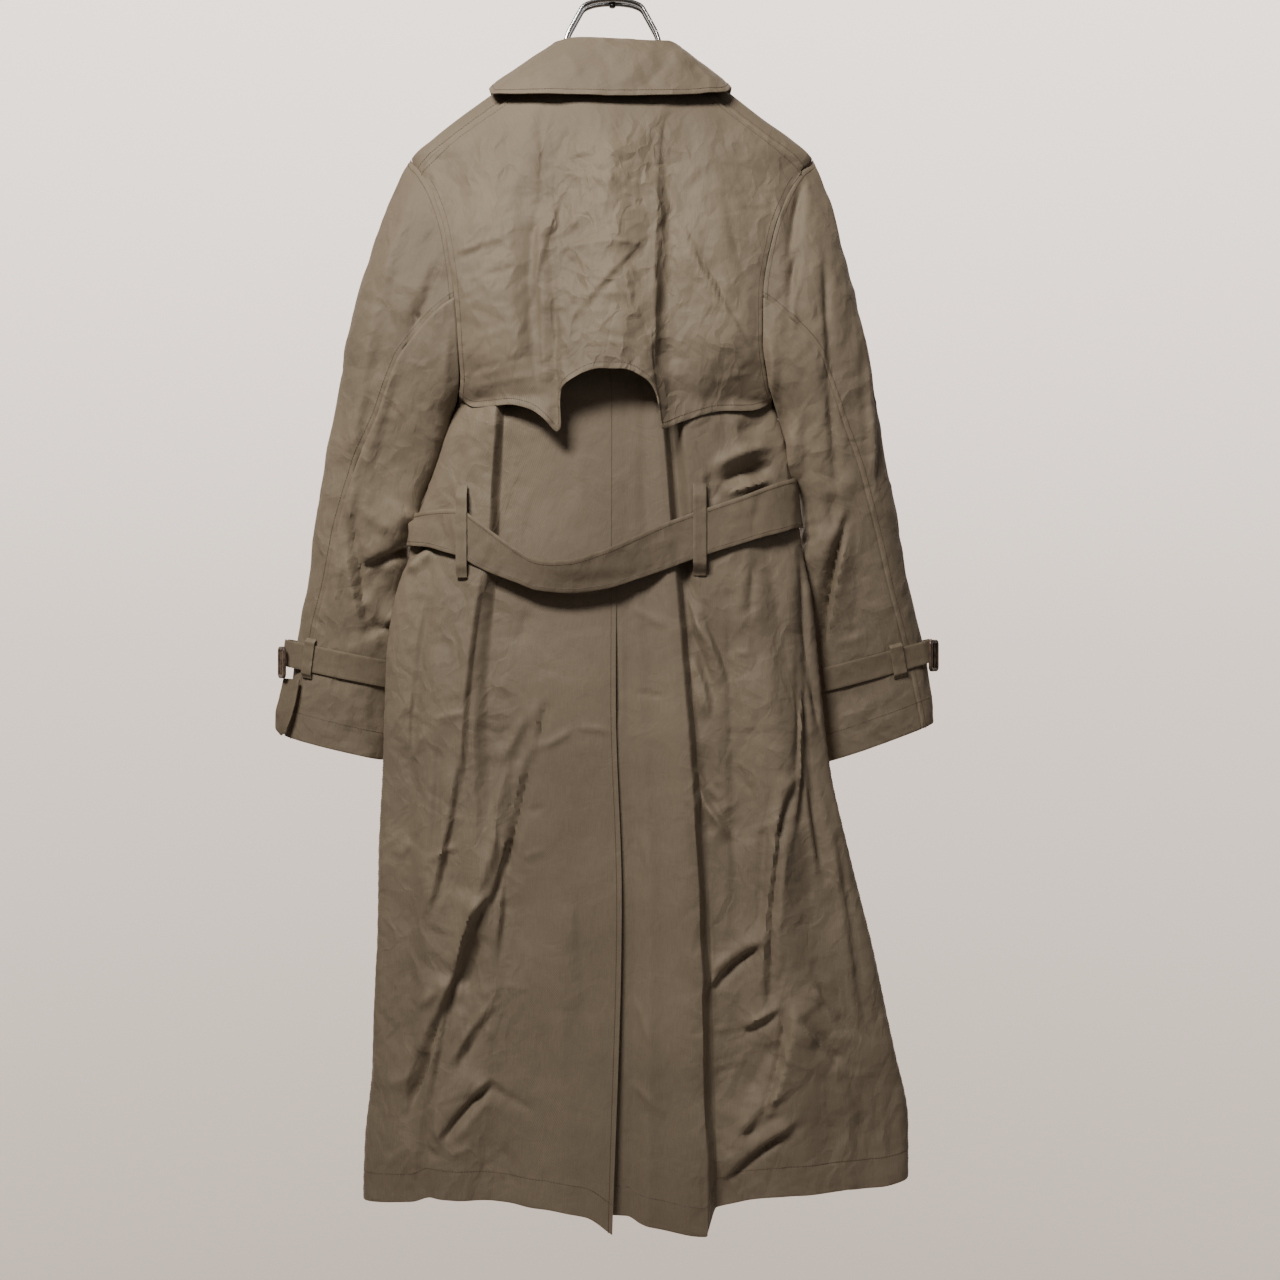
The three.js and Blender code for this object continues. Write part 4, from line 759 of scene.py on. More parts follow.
def flap_busy(x, z):
    """The flap is crumpled most between its two points."""
    return ease(-190, -235, z) * (0.6 + 0.4 * ease(75, 55, np.abs(x)))


def flap_creases(face, normal):
    x, z = face[..., 0], face[..., 2]
    lifted = 0.85 * creased(x, z, FLAP_CREASES) + creased(x, z, flap_crinkles) + swell(x, z, 21, 70, 1.0)
    lifted += creased(x, z, FLAP_WAVES) + tucked(x, z, FLAP_FOLDS)
    lifted += flap_busy(x, z) * (facets(x, z, 22, 26, 1.3) + facets(x, z, 23, 14, 0.6))
    room = back_y(x, z) - face[..., 1]
    return np.maximum(lifted, 1.6 - room)


flap_hem = np.concatenate([np.linspace(0, 5, 38)[:-1], np.linspace(5, 7, 26)[:-1], np.linspace(7, 11, 34)[:-1],
                           np.linspace(11, 13, 22)[:-1], np.linspace(13, 16, 30)])
storm_flap = cloth("storm_flap_cloth", flap_hem, fine(0, 1, 122, 0.012), flap_surface, -1, flap_creases, "lrt",
                   {"b": 7}, busy=flap_busy)
built_in(storm_flap["piece"], "coat_cloth", "storm_flap")


# ------------------------------------------------------------------ fronts and lapels
# Two double-breasted fronts, the right over the left. Each reaches over the shoulder to a seam on
# the back. The lapels are turned back along the roll line.
SKIRT_ROWS = [-525, -565, -605, -645, -690, -740, -790, -840, -900, -970, -1050, -1130, -1210, -1290]
FRONT_HEM = [(-252, -1288), (-150, -1280), (20, -1276), (160, -1270), (298, -1266)]
FRONT_EDGES = {
    # across and height of the edge, height of the same row at the armhole or side seam
    -1: [(-63, -175, -281), (-34, -217, -325), (2, -274, -386), (38, -326, -429), (70, -378, -461),
         (72, -425, -481), (72, -466, -491)],
    1: [(66, -175, -281), (44, -217, -325), (7, -274, -386), (-29, -326, -429), (-58, -378, -461),
        (-60, -425, -481), (-60, -466, -491)],
}
UNDER_FRONT = 6.5  # the left front lies this far under the right one


def front_surface(side):
    """The front's outer face: u runs from its edge to its side; v is 0 to 4 over the shoulder,
    to 11 down the neck and the armhole, and to 25 down the skirt."""
    neck_x, rows_x = (-81, -75) if side < 0 else (83, 77)
    edge = FRONT_EDGES[side]
    start = (rows_x, float(ridge_z(np.array(side * 76.0))) - SEAM_DROP, ARMHOLE_BACK)
    rows = np.array([start, *edge, *[(edge[6][0], z, z) for z in SKIRT_ROWS]], float)

    def over_shoulder(u, v):
        k = v / 2 - 1
        left, right = section(SHOULDER_POINT - 15 * k * k)[:2]
        x = mix(neck_x - side * 6 * k * k, left if side < 0 else right, u)
        z = ridge_z(x) - SEAM_DROP * k * k
        return np.stack([x, np.where(k < 0, back_y(x, z), front_y(x, z)), z], -1)

    def below(u, v):
        edge_x, edge_z, side_z = np.moveaxis(row_at(rows, v - 4), -1, 0)
        left, right = section(side_z)[:2]
        middle, half = (left + right) / 2, (right - left) / 2
        start_angle = np.arccos(np.clip((middle - edge_x) / half, -1, 1))
        ring = middle - half * np.cos(mix(start_angle, 0 if side < 0 else math.pi, u))
        straight = mix(edge_x, left if side < 0 else right, u)
        x = mix(straight, ring, np.clip(v - 9, 0, 1))
        at_height = mix(edge_z, side_z, u)
        z = at_height + hem_drop(FRONT_HEM, x) * ease(HEM_ZONE_TOP, HEM_LEVEL, at_height)
        under = UNDER_FRONT * ease(-104, -70, x) * ease(-185, -240, z) if side < 0 else 0
        return np.stack([x, front_y(x, at_height) - under, z], -1)

    def surface(u, v):
        four = np.full_like(v, 4.0)
        gap = over_shoulder(u, four) - below(u, four)
        lower = below(u, np.maximum(v, 4)) + gap * (1 - ease(4, 5.5, v))[..., None]
        return np.where((v <= 4)[..., None], over_shoulder(u, np.minimum(v, 4)), lower)

    return surface


front_crinkles = crinkles(17, 90, (-260, 300, -250, -1290), 70, 1.0)
FRONT_CREASES = [row for row in mirrored(SKIRT_CREASES) if row[1] < -640]


def front_creases(face, normal):
    x, z = face[..., 0], face[..., 2]
    lifted = 1.4 * creased(x, z, FRONT_CREASES) + 1.3 * creased(x, z, front_crinkles)
    lifted += swell(x, z, 5, 110, 1.4)
    lifted += facets(x, z * 0.6, 14, 36, 1.3) + facets(x, z * 0.7, 16, 17, 0.5)
    return lifted * ease(0.1, 0.4, normal[..., 1]) * ease(-190, -240, z)


FRONT_ROWS = np.concatenate([np.linspace(0, 0.06, 4), np.linspace(0.12, 3.9, 26), np.linspace(4, 11, 96),
                             np.linspace(11.15, 24.86, 138), [24.9, 24.94, 24.97, 25]])
fronts = {}
for side, side_name in SIDES:
    fronts[side] = cloth(f"front_{side_name}_cloth", fine(0, 1, 56), FRONT_ROWS, front_surface(side), side,
                         front_creases, "rt", {"b": 30, "l": 7}, busy=lambda x, z: 0.5 * ease(-190, -240, z))
    built_in(fronts[side]["piece"], "coat_cloth", f"front_{side_name}")

# row of the front, share of the front's width that the lapel covers
LAPEL_WIDTHS = [(4.9, 0.42), (5.4, 0.56), (6, 0.5), (7, 0.36), (8, 0.2), (9, 0.04)]
LAPEL_LIFT = 2.9
for side, side_name in SIDES:

    def lapel_surface(u, v, front=front_surface(side)):
        width = np.interp(v, *zip(*LAPEL_WIDTHS))
        rows = [front(u * share, np.array([[row]])) for share, row in zip(width[:, 0], v[:, 0])]
        return np.concatenate(rows) + np.array([0, LAPEL_LIFT, 0])

    lapel = cloth(f"lapel_{side_name}_cloth", np.linspace(0, 1, 24), np.linspace(4.9, 9, 60), lapel_surface,
                  side, None, "", {"r": 7, "t": 7})
    built_in(lapel["piece"], "coat_cloth", f"lapel_{side_name}")


# ------------------------------------------------------------------ sleeves
# Two-piece set-in sleeves: an upper sleeve over the outside and a narrow under sleeve, hanging
# straight from the shoulder points and half flattened, with soft breaks at elbow and cuff.
SLEEVES = {
    # outer point, inner point (across, height), depth of the middle, reach behind and before
    -1: np.array([
        [-204.6, -238, -159.5, -491.5, -80, 42, 42], [-213, -252, -161, -495, -80, 42, 42],
        [-227, -279, -163, -499, -80, 42, 42], [-238, -311, -166, -505, -79, 42, 41],
        [-247, -341, -170, -513, -77, 41, 40], [-257, -371, -175, -522, -75, 40, 39],
        [-266, -404, -180, -535, -72, 39, 38], [-275, -444, -187, -551, -68, 37, 36],
        [-284, -491, -199, -573, -63, 35, 33], [-294, -543, -209, -601, -58, 33, 31],
        [-305, -601, -217, -636, -52, 31, 29], [-315, -663, -222, -682, -46, 29, 27],
        [-325, -706, -225, -725, -42, 27, 25], [-333, -751, -230, -770, -39, 24, 23],
        [-339, -793, -234, -816, -37, 25, 23], [-344, -824, -240, -850, -36, 24, 22],
    ]),
    1: np.array([
        [203.6, -238, 165.5, -491.5, -80, 42, 42], [211, -254, 166, -494, -80, 42, 42],
        [221, -281, 168, -499, -80, 42, 42], [229, -311, 171, -505, -79, 42, 41],
        [237, -341, 175, -513, -77, 41, 40], [245, -371, 179, -522, -75, 40, 39],
        [253, -404, 183, -535, -72, 39, 38], [262, -444, 190, -553, -68, 37, 36],
        [271, -491, 197, -576, -63, 35, 33], [281, -543, 203, -604, -58, 33, 31],
        [293, -601, 206, -639, -52, 31, 29], [306, -663, 206, -690, -46, 29, 27],
        [316, -704, 206, -735, -42, 27, 25], [325, -741, 208, -777, -39, 24, 23],
        [332, -779, 213, -817, -37, 25, 23], [336, -811, 219, -853, -36, 24, 22],
    ]),
}
# ring number, angle of the back seam, angle of the front seam, in degrees from the outer edge
SLEEVE_SEAMS = np.array([[0, 100, 214], [7, 88, 226], [9, 74, 230], [12, 54, 232], [15, 44, 234]])
SLEEVE_CREASES = [
    (-195, -270, -228, -383, 0, 5, 2), (-228, -383, -265, -577, 3, 5, 2),
    (-179, -388, -216, -444, 0, 9, -2.5), (-167, -319, -204, -363, 0, 9, -1.5),
    (-248, -509, -202, -499, 0, 3, 1), (-224, -390, -212, -422, 0, 4, -1),
    (-157, -405, -169, -489, 0, 5, 1.2), (-184, -528, -213, -607, 0, 8, 1.6),
    (-268, -587, -277, -686, 0, 7, -1.2), (-243, -558, -256, -646, 0, 7, 1),
    (-258, -686, -233, -646, 0, 5, -2), (-272, -705, -242, -678, 0, 5, 1.6),
    (-258, -725, -228, -695, 0, 4, -2.2), (-248, -725, -226, -713, 0, 3, 1.5),
    (192, -269, 183, -343, 2, 4, -4), (183, -341, 178, -372, 0, 4, -4),
    (178, -370, 185, -410, 0, 3, -2.5), (170, -390, 187, -421, 0, 3, 1.6),
    (162, -386, 186, -402, 0, 3, -1.5), (205, -341, 208, -428, 0, 6, -2.2),
    (208, -426, 223, -585, 0, 6, -2.2), (242, -390, 265, -569, 0, 8, 1.5),
    (149, -420, 172, -486, 0, 4, 2.5), (161, -469, 172, -530, 0, 5, -3),
    (186, -508, 193, -587, 0, 6, 2), (218, -574, 228, -619, 0, 5, -3.5),
    (228, -617, 207, -737, 0, 5, -4), (237, -617, 221, -735, 0, 6, 2.5),
    (215, -614, 189, -637, 0, 4, -3), (209, -607, 186, -625, 0, 4, 2),
    (245, -587, 251, -727, 0, 7, -1.2), (230, -719, 255, -715, 0, 3, -1.2),
    (233, -727, 257, -723, 0, 3, 1), (274, -607, 284, -705, 0, 7, 1.2), (255, -784, 251, -828, 0, 4, 1),
    (-186, -599, -253, -648, -6, 8, -5), (-208, -587, -236, -619, 0, 14, 4),
    (-262, -567, -266, -607, 0, 5, 1.5), (-268, -599, -254, -692, -3, 4, -3),
    (-277, -602, -268, -686, -3, 6, 2), (-270, -675, -254, -680, 0, 3, 1.5),
    (-258, -690, -250, -725, 0, 4, -2.2), (-277, -663, -264, -737, 0, 4, -2),
    (-285, -646, -275, -725, 0, 7, 1.2), (-250, -719, -220, -711, 0, 5, -2.6),
    (-246, -707, -220, -699, 0, 5, 1.8), (-268, -774, -277, -819, 0, 5, 1.2),
    (-248, -774, -242, -828, 0, 5, -1),
]


SLEEVE_FOLDS = [
    # from across, height, to across, height, bow, width, height of the fold
    (-182, -600, -262, -648, -6, 20, 9), (-256, -560, -268, -668, 4, 20, 5),
    (-262, -632, -250, -722, 6, 9, 6), (-196, -655, -240, -715, -4, 14, 5),
    (-200, -290, -268, -600, 3, 26, 3), (-172, -340, -214, -455, 0, 18, 4),
    (-214, -455, -250, -560, 0, 20, 4), (-272, -590, -282, -700, 0, 14, 3.5),
    (-225, -745, -238, -690, 0, 12, 3), (196, -262, 182, -350, 2, 14, -5),
    (188, -345, 178, -425, 2, 14, -4.5), (206, -330, 224, -590, 4, 20, 5),
    (234, -590, 205, -745, 3, 18, 8), (246, -380, 268, -590, 0, 24, 3),
    (158, -455, 176, -545, 0, 14, 5), (186, -500, 198, -600, 0, 16, 5),
    (240, -600, 220, -745, 3, 12, -5), (204, -600, 190, -640, 0, 10, 5),
    (252, -420, 262, -560, 0, 14, -3),
]


def sleeve_point(side, degrees, v, stand=0.0):
    """A point of the sleeve at an angle from its outer edge and a ring number."""
    rings = SLEEVES[side]
    degrees, v = np.broadcast_arrays(np.asarray(degrees, float), np.asarray(v, float))
    outer_x, outer_z, inner_x, inner_z, y, back, front = np.moveaxis(row_at(rings, v), -1, 0)
    angle = np.radians(degrees)
    share, sine = (1 - np.cos(angle)) / 2, np.sin(angle)
    depth = np.sign(sine) * np.abs(sine) ** 0.85
    reach = np.where(depth > 0, back, front)
    point = np.stack([mix(outer_x, inner_x, share), y - depth * reach, mix(outer_z, inner_z, share)], -1)

    # the first ring is drawn out to the armhole that the coat's side leaves
    z = mix(SHOULDER_POINT, ARMHOLE_FOOT, share)
    left, right, side_back, _, _, side_front = section(z)[:6]
    over = 2.2 * ease(-245, -262, z) * ease(ARMHOLE_FOOT + 0.5, -470, z)
    start = 0.3 + 0.8 * ease(-440, -485, z)
    hole = np.stack([left - start if side < 0 else right + start,
                     np.where(sine > 0, side_back - over, side_front), z], -1)
    first = rings[0]
    flat = np.stack([mix(first[0], first[2], share), first[4] - depth * first[5],
                     mix(first[1], first[3], share)], -1)
    point = point + (hole - flat) * (1 - ease(0, 5, v))[..., None]

    outward = np.stack([(outer_x - inner_x) * np.cos(angle), 0 * angle,
                        (outer_z - inner_z) * np.cos(angle)], -1)
    outward = outward / (((outer_x - inner_x) ** 2 + (outer_z - inner_z) ** 2) / 2)[..., None]
    outward[..., 1] = -sine / reach
    outward /= np.linalg.norm(outward, axis=-1, keepdims=True)
    return point + outward * np.asarray(stand)[..., None]


SLEEVE_HOLLOWS = [
    # from across, height, to across, height, bow, width, depth below 0
    (-236, -636, -238, -735, 0, 15, -4.5), (-212, -470, -234, -590, 0, 14, -3),
    (-262, -420, -282, -600, 0, 9, -2), (178, -300, 190, -430, 2, 12, -4), (248, -560, 254, -700, 0, 13, -3),
]
SLEEVE_RESTS = {
    # height, how far the sleeve's inner edge bulges until it rests on the coat's side
    -1: [(-680, 0), (-655, 6), (-642, 8), (-630, 5), (-612, 5), (-598, 8), (-565, 8), (-545, 6), (-520, 5),
         (-500, 0)],
    1: [(-690, 0), (-668, 6), (-655, 8), (-640, 13), (-619, 12), (-607, 7), (-583, 6), (-566, 8), (-548, 7),
        (-524, 5), (-500, 0)],
}
sleeve_crinkles = crinkles(23, 150, (-350, 345, -250, -850), 50, 1.0)
far_creases = mirrored(SLEEVE_CREASES)


def sleeve_creases(face, normal):
    x, z, out = face[..., 0], face[..., 2], normal[..., 1]
    near = 1.5 * creased(x, z, SLEEVE_CREASES) + tucked(x, z, SLEEVE_FOLDS) + creased(x, z, SLEEVE_HOLLOWS)
    near = near * ease(0.1, 0.45, -out)
    far = (1.5 * creased(x, z, far_creases) + tucked(-x, z, SLEEVE_FOLDS)) * ease(0.1, 0.45, out)
    small = 1.2 * creased(x, z, sleeve_crinkles) + facets(x, z * 0.7, 10, 24, 1.0) + facets(x, z, 12, 13, 0.4)
    inward = -np.sign(x) * normal[..., 0]
    left_rest, right_rest = (np.interp(z, *zip(*SLEEVE_RESTS[side])) for side in (-1, 1))
    rest = np.where(x < 0, left_rest, right_rest) * ease(0.1, 0.85, inward)
    return near + far + small * ease(-235, -275, z) + swell(x, z, 9, 80, 1.0) + rest


# flat cut in metres, its area, and columns of the mesh
SLEEVE_PARTS = {"upper": ((0.30, 0.62), 0.125, 60), "under": ((0.19, 0.48), 0.058, 34)}
sleeves = {}
for side, side_name in SIDES:
    for part, (flat, area, columns) in SLEEVE_PARTS.items():

        def sleeve_surface(u, v, side=side, part=part):
            back, front = through(SLEEVE_SEAMS[:, 0], SLEEVE_SEAMS[:, 1:], v + 0 * u).transpose(2, 0, 1)
            degrees = mix(front - 360, back, u) if part == "upper" else mix(back, front, u)
            return sleeve_point(side, degrees, v + 0 * u)

        panel = cloth(f"sleeve_{part}_{side_name}_cloth", fine(0, 1, columns), fine(0, 15, 176, 0.006),
                      sleeve_surface, side, sleeve_creases, "lrt", {"b": 28},
                      busy=lambda x, z: 0.1 + 0.4 * ease(-240, -300, z))
        built_in(panel["piece"], "coat_cloth", f"sleeve_{part}_{side_name}")
        sleeves[side, part] = panel


# ------------------------------------------------------------------ collar
# A two-piece collar: a stand sewn to the neck, and a fall that rolls over it and ends in two
# points at the sides. The fall is interfaced, so it stays smooth, with a turned topstitched edge.
COLLAR = np.array([
    # fold line, free edge of the fall and neck seam, each as across, height, depth
    [-54, -167, -40, -90, -203, -31, -62, -172, -46], [-62, -143, -50, -112, -184, -42, -70, -157, -54],
    [-65, -129, -66, -122, -172, -58, -78, -147, -67], [-63, -125, -85, -125, -167.5, -84, -80.2, -144.2, -84],
    [-46, -124, -103, -119, -182, -109, -62, -158, -99], [-22, -126, -111, -56, -188, -126, -32, -166, -106],
    [6, -128, -113, 1, -191, -129, 3, -167, -107], [36, -129, -111, 62, -189, -126, 36, -166, -106],
    [59, -127, -103, 114, -179, -109, 64, -158, -99], [73, -129, -85, 121, -166.5, -84, 82.2, -144.2, -84],
    [76, -133, -66, 119, -172, -58, 80, -147, -67], [72, -147, -50, 110, -185, -42, 72, -157, -54],
    [64, -169, -40, 92, -204, -31, 64, -172, -46],
])
UP = np.array([0, 0, 1.0])
NECK_CENTRE = np.array([6, -70, 0])
ROLL = 1.7  # radius of the roll at the fold


def collar_lines(u):
    """The fold line, the fall's free edge, the neck seam and the way to the neck's centre."""
    rows = row_at(COLLAR, u)
    fold, edge, neck = rows[..., [0, 2, 1]], rows[..., [3, 5, 4]], rows[..., [6, 8, 7]]
    inward = NECK_CENTRE - fold * [1, 1, 0]
    inward /= np.linalg.norm(inward, axis=-1, keepdims=True)
    return fold, edge, neck, inward


def fall_surface(u, v):
    """v is 0 to 1 round the roll at the top and 1 to 5 down the fall."""
    fold, edge, _, inward = collar_lines(u + 0 * v)
    turn = (math.pi * (1 - np.clip(v, 0, 1)))[..., None]
    roll = fold + inward * ROLL - UP * ROLL + inward * ROLL * -np.cos(turn) + UP * ROLL * np.sin(turn)
    t = np.clip((v - 1) / 4, 0, 1)[..., None]
    fall = mix(fold - UP * ROLL, edge, t) - inward * 2.5 * np.sin(math.pi * t)
    return np.where((v <= 1)[..., None], roll, fall)


def stand_surface(u, v):
    fold, _, neck, inward = collar_lines(u + 0 * v)
    return mix(fold + inward * 4 - UP * 3.2, neck, v[..., None] + 0 * fold)


FALL_CREASES = [
    # from across, height, to across, height, bow, width, height of the ridge
    (-50, -134, -30, -176, 0, 7, 1.4), (-76, -165, -92, -180, 0, 5, 1.3), (-20, -138, 6, -180, -3, 9, -1.6),
    (44, -140, 12, -184, 3, 6, 1.8), (58, -150, 30, -186, 0, 4, -1.5), (78, -150, 96, -172, 0, 6, -1.4),
    (60, -136, 66, -160, 0, 5, 1.3), (-40, -150, -66, -176, 0, 5, -1.1), (10, -134, 30, -150, 0, 6, 1),
]
collar_crinkles = crinkles(31, 26, (-110, 110, -130, -195), 30, 0.6)


def collar_creases(face, normal):
    x, z = face[..., 0], face[..., 2]
    lifted = 1.3 * creased(x, z, FALL_CREASES) + creased(x, z, collar_crinkles) + facets(x, z, 31, 19, 0.8)
    return lifted * ease(0, 0.4, -normal[..., 1])


around_neck = len(COLLAR) - 1
down_fall = np.concatenate([np.linspace(0, 1, 7)[:-1], np.linspace(1, 4.85, 30), [4.9, 4.95, 5]])
collar_fall = cloth("collar_fall_cloth", np.linspace(0, around_neck, 150), down_fall, fall_surface, -1,
                    collar_creases, "", {"b": 6, "l": 6, "r": 6}, busy=lambda x, z: 0.4 + 0 * x)
collar_stand = cloth("collar_stand_cloth", np.linspace(0, around_neck, 130), np.linspace(0, 1, 12),
                     stand_surface, -1, None, "b")
built_in(collar_fall["piece"], "coat_cloth", "collar_fall")
built_in(collar_stand["piece"], "coat_cloth", "collar_stand")


# ------------------------------------------------------------------ belt and belt loops
# A 45 mm belt of doubled gabardine. It hangs slack behind, off the coat, through two loops, and
# closes in front. The loops are narrow doubled strips, sewn to the back at both ends.
belt_cloth = gabardine("khaki gabardine, doubled for the belt", "#6a5e4f", "#7e715f", "#423a2f")
# the belt's stretches from its end under the buckle, each row: across, height of the top and
# bottom edge, stand-off of the top and bottom edge
BELT_UNDER = [
    [30, -571, -614, 5.5, 5.5], [-40, -577, -620, 5.5, 5.5], [-110, -583, -625, 5.5, 5.5],
    [-160, -589, -629, 6, 6], [-184, -594, -629, 7, 7], [-198, -596, -629, 7, 7],
]
BELT_BACK = [
    [-230, -597, -629, 5, 5], [-199, -597, -630, 8.5, 8.5], [-182, -596, -632, 10, 10],
    [-165, -595, -637, 12, 12], [-149, -595, -642, 13, 13], [-132, -606, -652, 13.5, 13],
    [-115, -619, -660, 14, 13], [-94, -634, -668, 18, 15], [-73, -646, -676, 23, 17], [-57, -648, -678, 26, 18],
    [-40, -647, -679, 27, 18], [-7, -637, -675, 25, 17], [28, -621, -664, 18, 14], [56, -608, -654, 13, 12.5],
    [77, -600, -646, 12, 12], [100, -592, -638, 11.5, 11.5], [128, -582, -629, 11, 11],
    [150, -573, -622, 10, 10], [168, -566, -617, 9, 9], [180, -562, -613, 7, 7], [230, -561, -611, 4.5, 4.5],
]
BELT_FRONT = [
    [180, -562, -609, 5.5, 5.5], [165, -563, -608, 6, 6], [120, -565, -609, 6, 6], [60, -569, -612, 6, 6],
]
BELT_OVER = [[8, -573, -616, 9, 9], [-50, -577, -620, 9, 9], [-110, -582, -624, 9, 9]]
BELT_ROWS = np.array([[*row, front] for rows, front in ((BELT_UNDER, 1), (BELT_BACK, 0), (BELT_FRONT, 1),
                                                        (BELT_OVER, 1)) for row in rows], float)


def girth_point(across, z, front, stand):
    """A point outside the body's section, on its back or its front."""
    left, right, side_back, mid_back, _, side_front, mid_front, _ = section(z)
    x = np.clip(across, left, right)
    cosine = np.clip(((left + right) / 2 - x) * 2 / (right - left), -1, 1)
    depth = np.where(front, mid_front - side_front, mid_back - side_back)
    outward = np.stack([-cosine * 2 / (right - left), np.sqrt(1 - cosine**2) / depth, 0 * x], -1)
    outward /= np.linalg.norm(outward, axis=-1, keepdims=True)
    point = np.stack([x, np.where(front, front_y(x, z), back_y(x, z)), z + 0 * x], -1)
    return point + outward * np.asarray(stand)[..., None]


def belt_edge(rows, v):
    x, top, bottom, stand_top, stand_bottom, front = np.moveaxis(rows, -1, 0)
    return girth_point(x, mix(top, bottom, v), front > 0.5, mix(stand_top, stand_bottom, v))


def belt_surface(u, v):
    stations = np.stack([belt_edge(BELT_ROWS, t) for t in v[:, 0]])
    return np.stack([row_at(row, u[0]) for row in stations])


BELT_CREASES = [
    # from across, height, to across, height, bow, width, height of the ridge
    (-160, -598, -150, -640, 0, 4, 1.6), (-172, -600, -166, -634, 0, 4, -1.4),
    (-120, -622, -128, -652, 0, 5, 1.2), (-80, -656, 30, -650, 3, 5, 0.7), (-60, -668, 40, -660, 2, 4, -0.7),
    (20, -640, 70, -622, 0, 4, 0.8), (110, -600, 150, -590, 0, 6, 0.8), (150, -575, 140, -612, 0, 6, -1.2),
]
belt_crinkles = crinkles(37, 60, (-190, 170, -560, -680), 40, 0.5)


def belt_creases(face, normal):
    x, z = face[..., 0], face[..., 2]
    return creased(x, z, BELT_CREASES) * ease(0, 0.5, -normal[..., 1]) + creased(x, z, belt_crinkles)


across_belt = np.concatenate([[0, 0.03, 0.06], np.linspace(0.1, 0.9, 11), [0.94, 0.97, 1]])
belt = cloth("belt_cloth_strip", np.linspace(0, len(BELT_ROWS) - 1, 620), across_belt, belt_surface, -1,
             belt_creases, "", {"t": 4, "b": 4}, belt_cloth, 1.5)
built_in(belt["piece"], "belt_cloth", "belt")

BELT_LOOPS = [
    # side, across, width, height of the top and the bottom, how far clear of the belt, sewn to
    ("left", -149, 11, -571, -663, 2.7, "back_left_cloth"),
    ("right", 87, 13, -570, -661, 2.2, "back_right_cloth"),
]
LOOP_STAND = 3.1


def back_face(x, z):
    """The outer face of the back below the flap."""
    folds, edge = (BACK_LEFT_FOLDS, -1) if x < 5 else (BACK_RIGHT_FOLDS, 1)
    left, right = section(z)[:2]
    lines = [(left if edge < 0 else right) if across is SIDE else through(FOLD_HEIGHTS, across, z)
             for across, _ in folds]
    prouds = [through(FOLD_HEIGHTS, proud, z) for _, proud in folds]
    k = max(0, min(len(lines) - 2, int(np.searchsorted(lines, x)) - 1))
    return back_y(x, z) - mix(prouds[k], prouds[k + 1], ease(lines[k], lines[k + 1], x))


for side_name, loop_x, width, top, bottom, clear, sewn_to in BELT_LOOPS:

    def loop_surface(u, v):
        points = np.zeros((len(v), u.shape[1], 3))
        for j, t in enumerate(v[:, 0]):
            for i, s in enumerate(u[0]):
                x, z = loop_x + mix(-width / 2, width / 2, s), mix(top, bottom, t)
                row = through([r[0] for r in BELT_BACK], BELT_BACK, x)
                on_back = back_face(x, z) - LOOP_STAND
                at = np.clip((z - row[1]) / (row[2] - row[1]), 0, 1)
                belt_y = belt_edge(np.array([*row, 0]), at)[1] - clear
                over = ease(0, 0.14, t) * ease(1, 0.86, t)
                points[j, i] = x, mix(on_back, min(belt_y, on_back), over), z
        return points

    loop = cloth(f"belt_loop_{side_name}_strip", np.linspace(0, 1, 9), np.linspace(0, 1, 60), loop_surface, -1,
                 None, "", {"l": 2, "r": 2}, belt_cloth)
    built_in(loop["piece"], "belt_cloth", f"belt_loop_{side_name}")


# ------------------------------------------------------------------ cuff straps and keepers
# Narrow doubled straps round the cuffs, each through a keeper, loose at its buckle. On the left
# the strap's free end hangs down beside the cuff.
CUFF_STRAPS = {
    # ring numbers of the top and bottom edge at the outer and inner side, looseness, keeper's angle
    -1: ((12.45, 13.05), (12.5, 13.1), 10, 52),
    1: ((12.6, 13.2), (12.5, 13.1), 8, 63),
}
BUCKLE_ANGLE = 16
STRAP_END = np.array([
    # outer and inner edge across, outer and inner depth, outer and inner height
    [-341, -322, -52, -63, -764.5, -765.5], [-345, -325, -53, -63.5, -783, -783],
    [-349, -329, -54, -63.5, -802, -800], [-349, -333, -54, -62.5, -815, -811],
    [-343, -337, -55, -61, -824, -820],
])


def strap_point(side, degrees, v, stand):
    """A point of the strap at an angle from the cuff's outer edge, v from its top to its bottom."""
    outer, inner, loose, _ = CUFF_STRAPS[side]
    near = (1 + np.cos(np.radians(degrees))) / 2
    at = mix(mix(inner[0], outer[0], near), mix(inner[1], outer[1], near), v)
    turn = np.abs((np.asarray(degrees) + 180) % 360 - 180)
    bulge = np.where(turn < 50, loose * np.cos(turn * math.pi / 100) ** 2, 0)
    return sleeve_point(side, degrees + 0 * v, at, stand + bulge + 0 * v)


strap_crinkles = crinkles(41, 60, (-350, 345, -720, -800), 26, 0.45)


def strap_creases(face, normal):
    return creased(face[..., 0], face[..., 2], strap_crinkles)


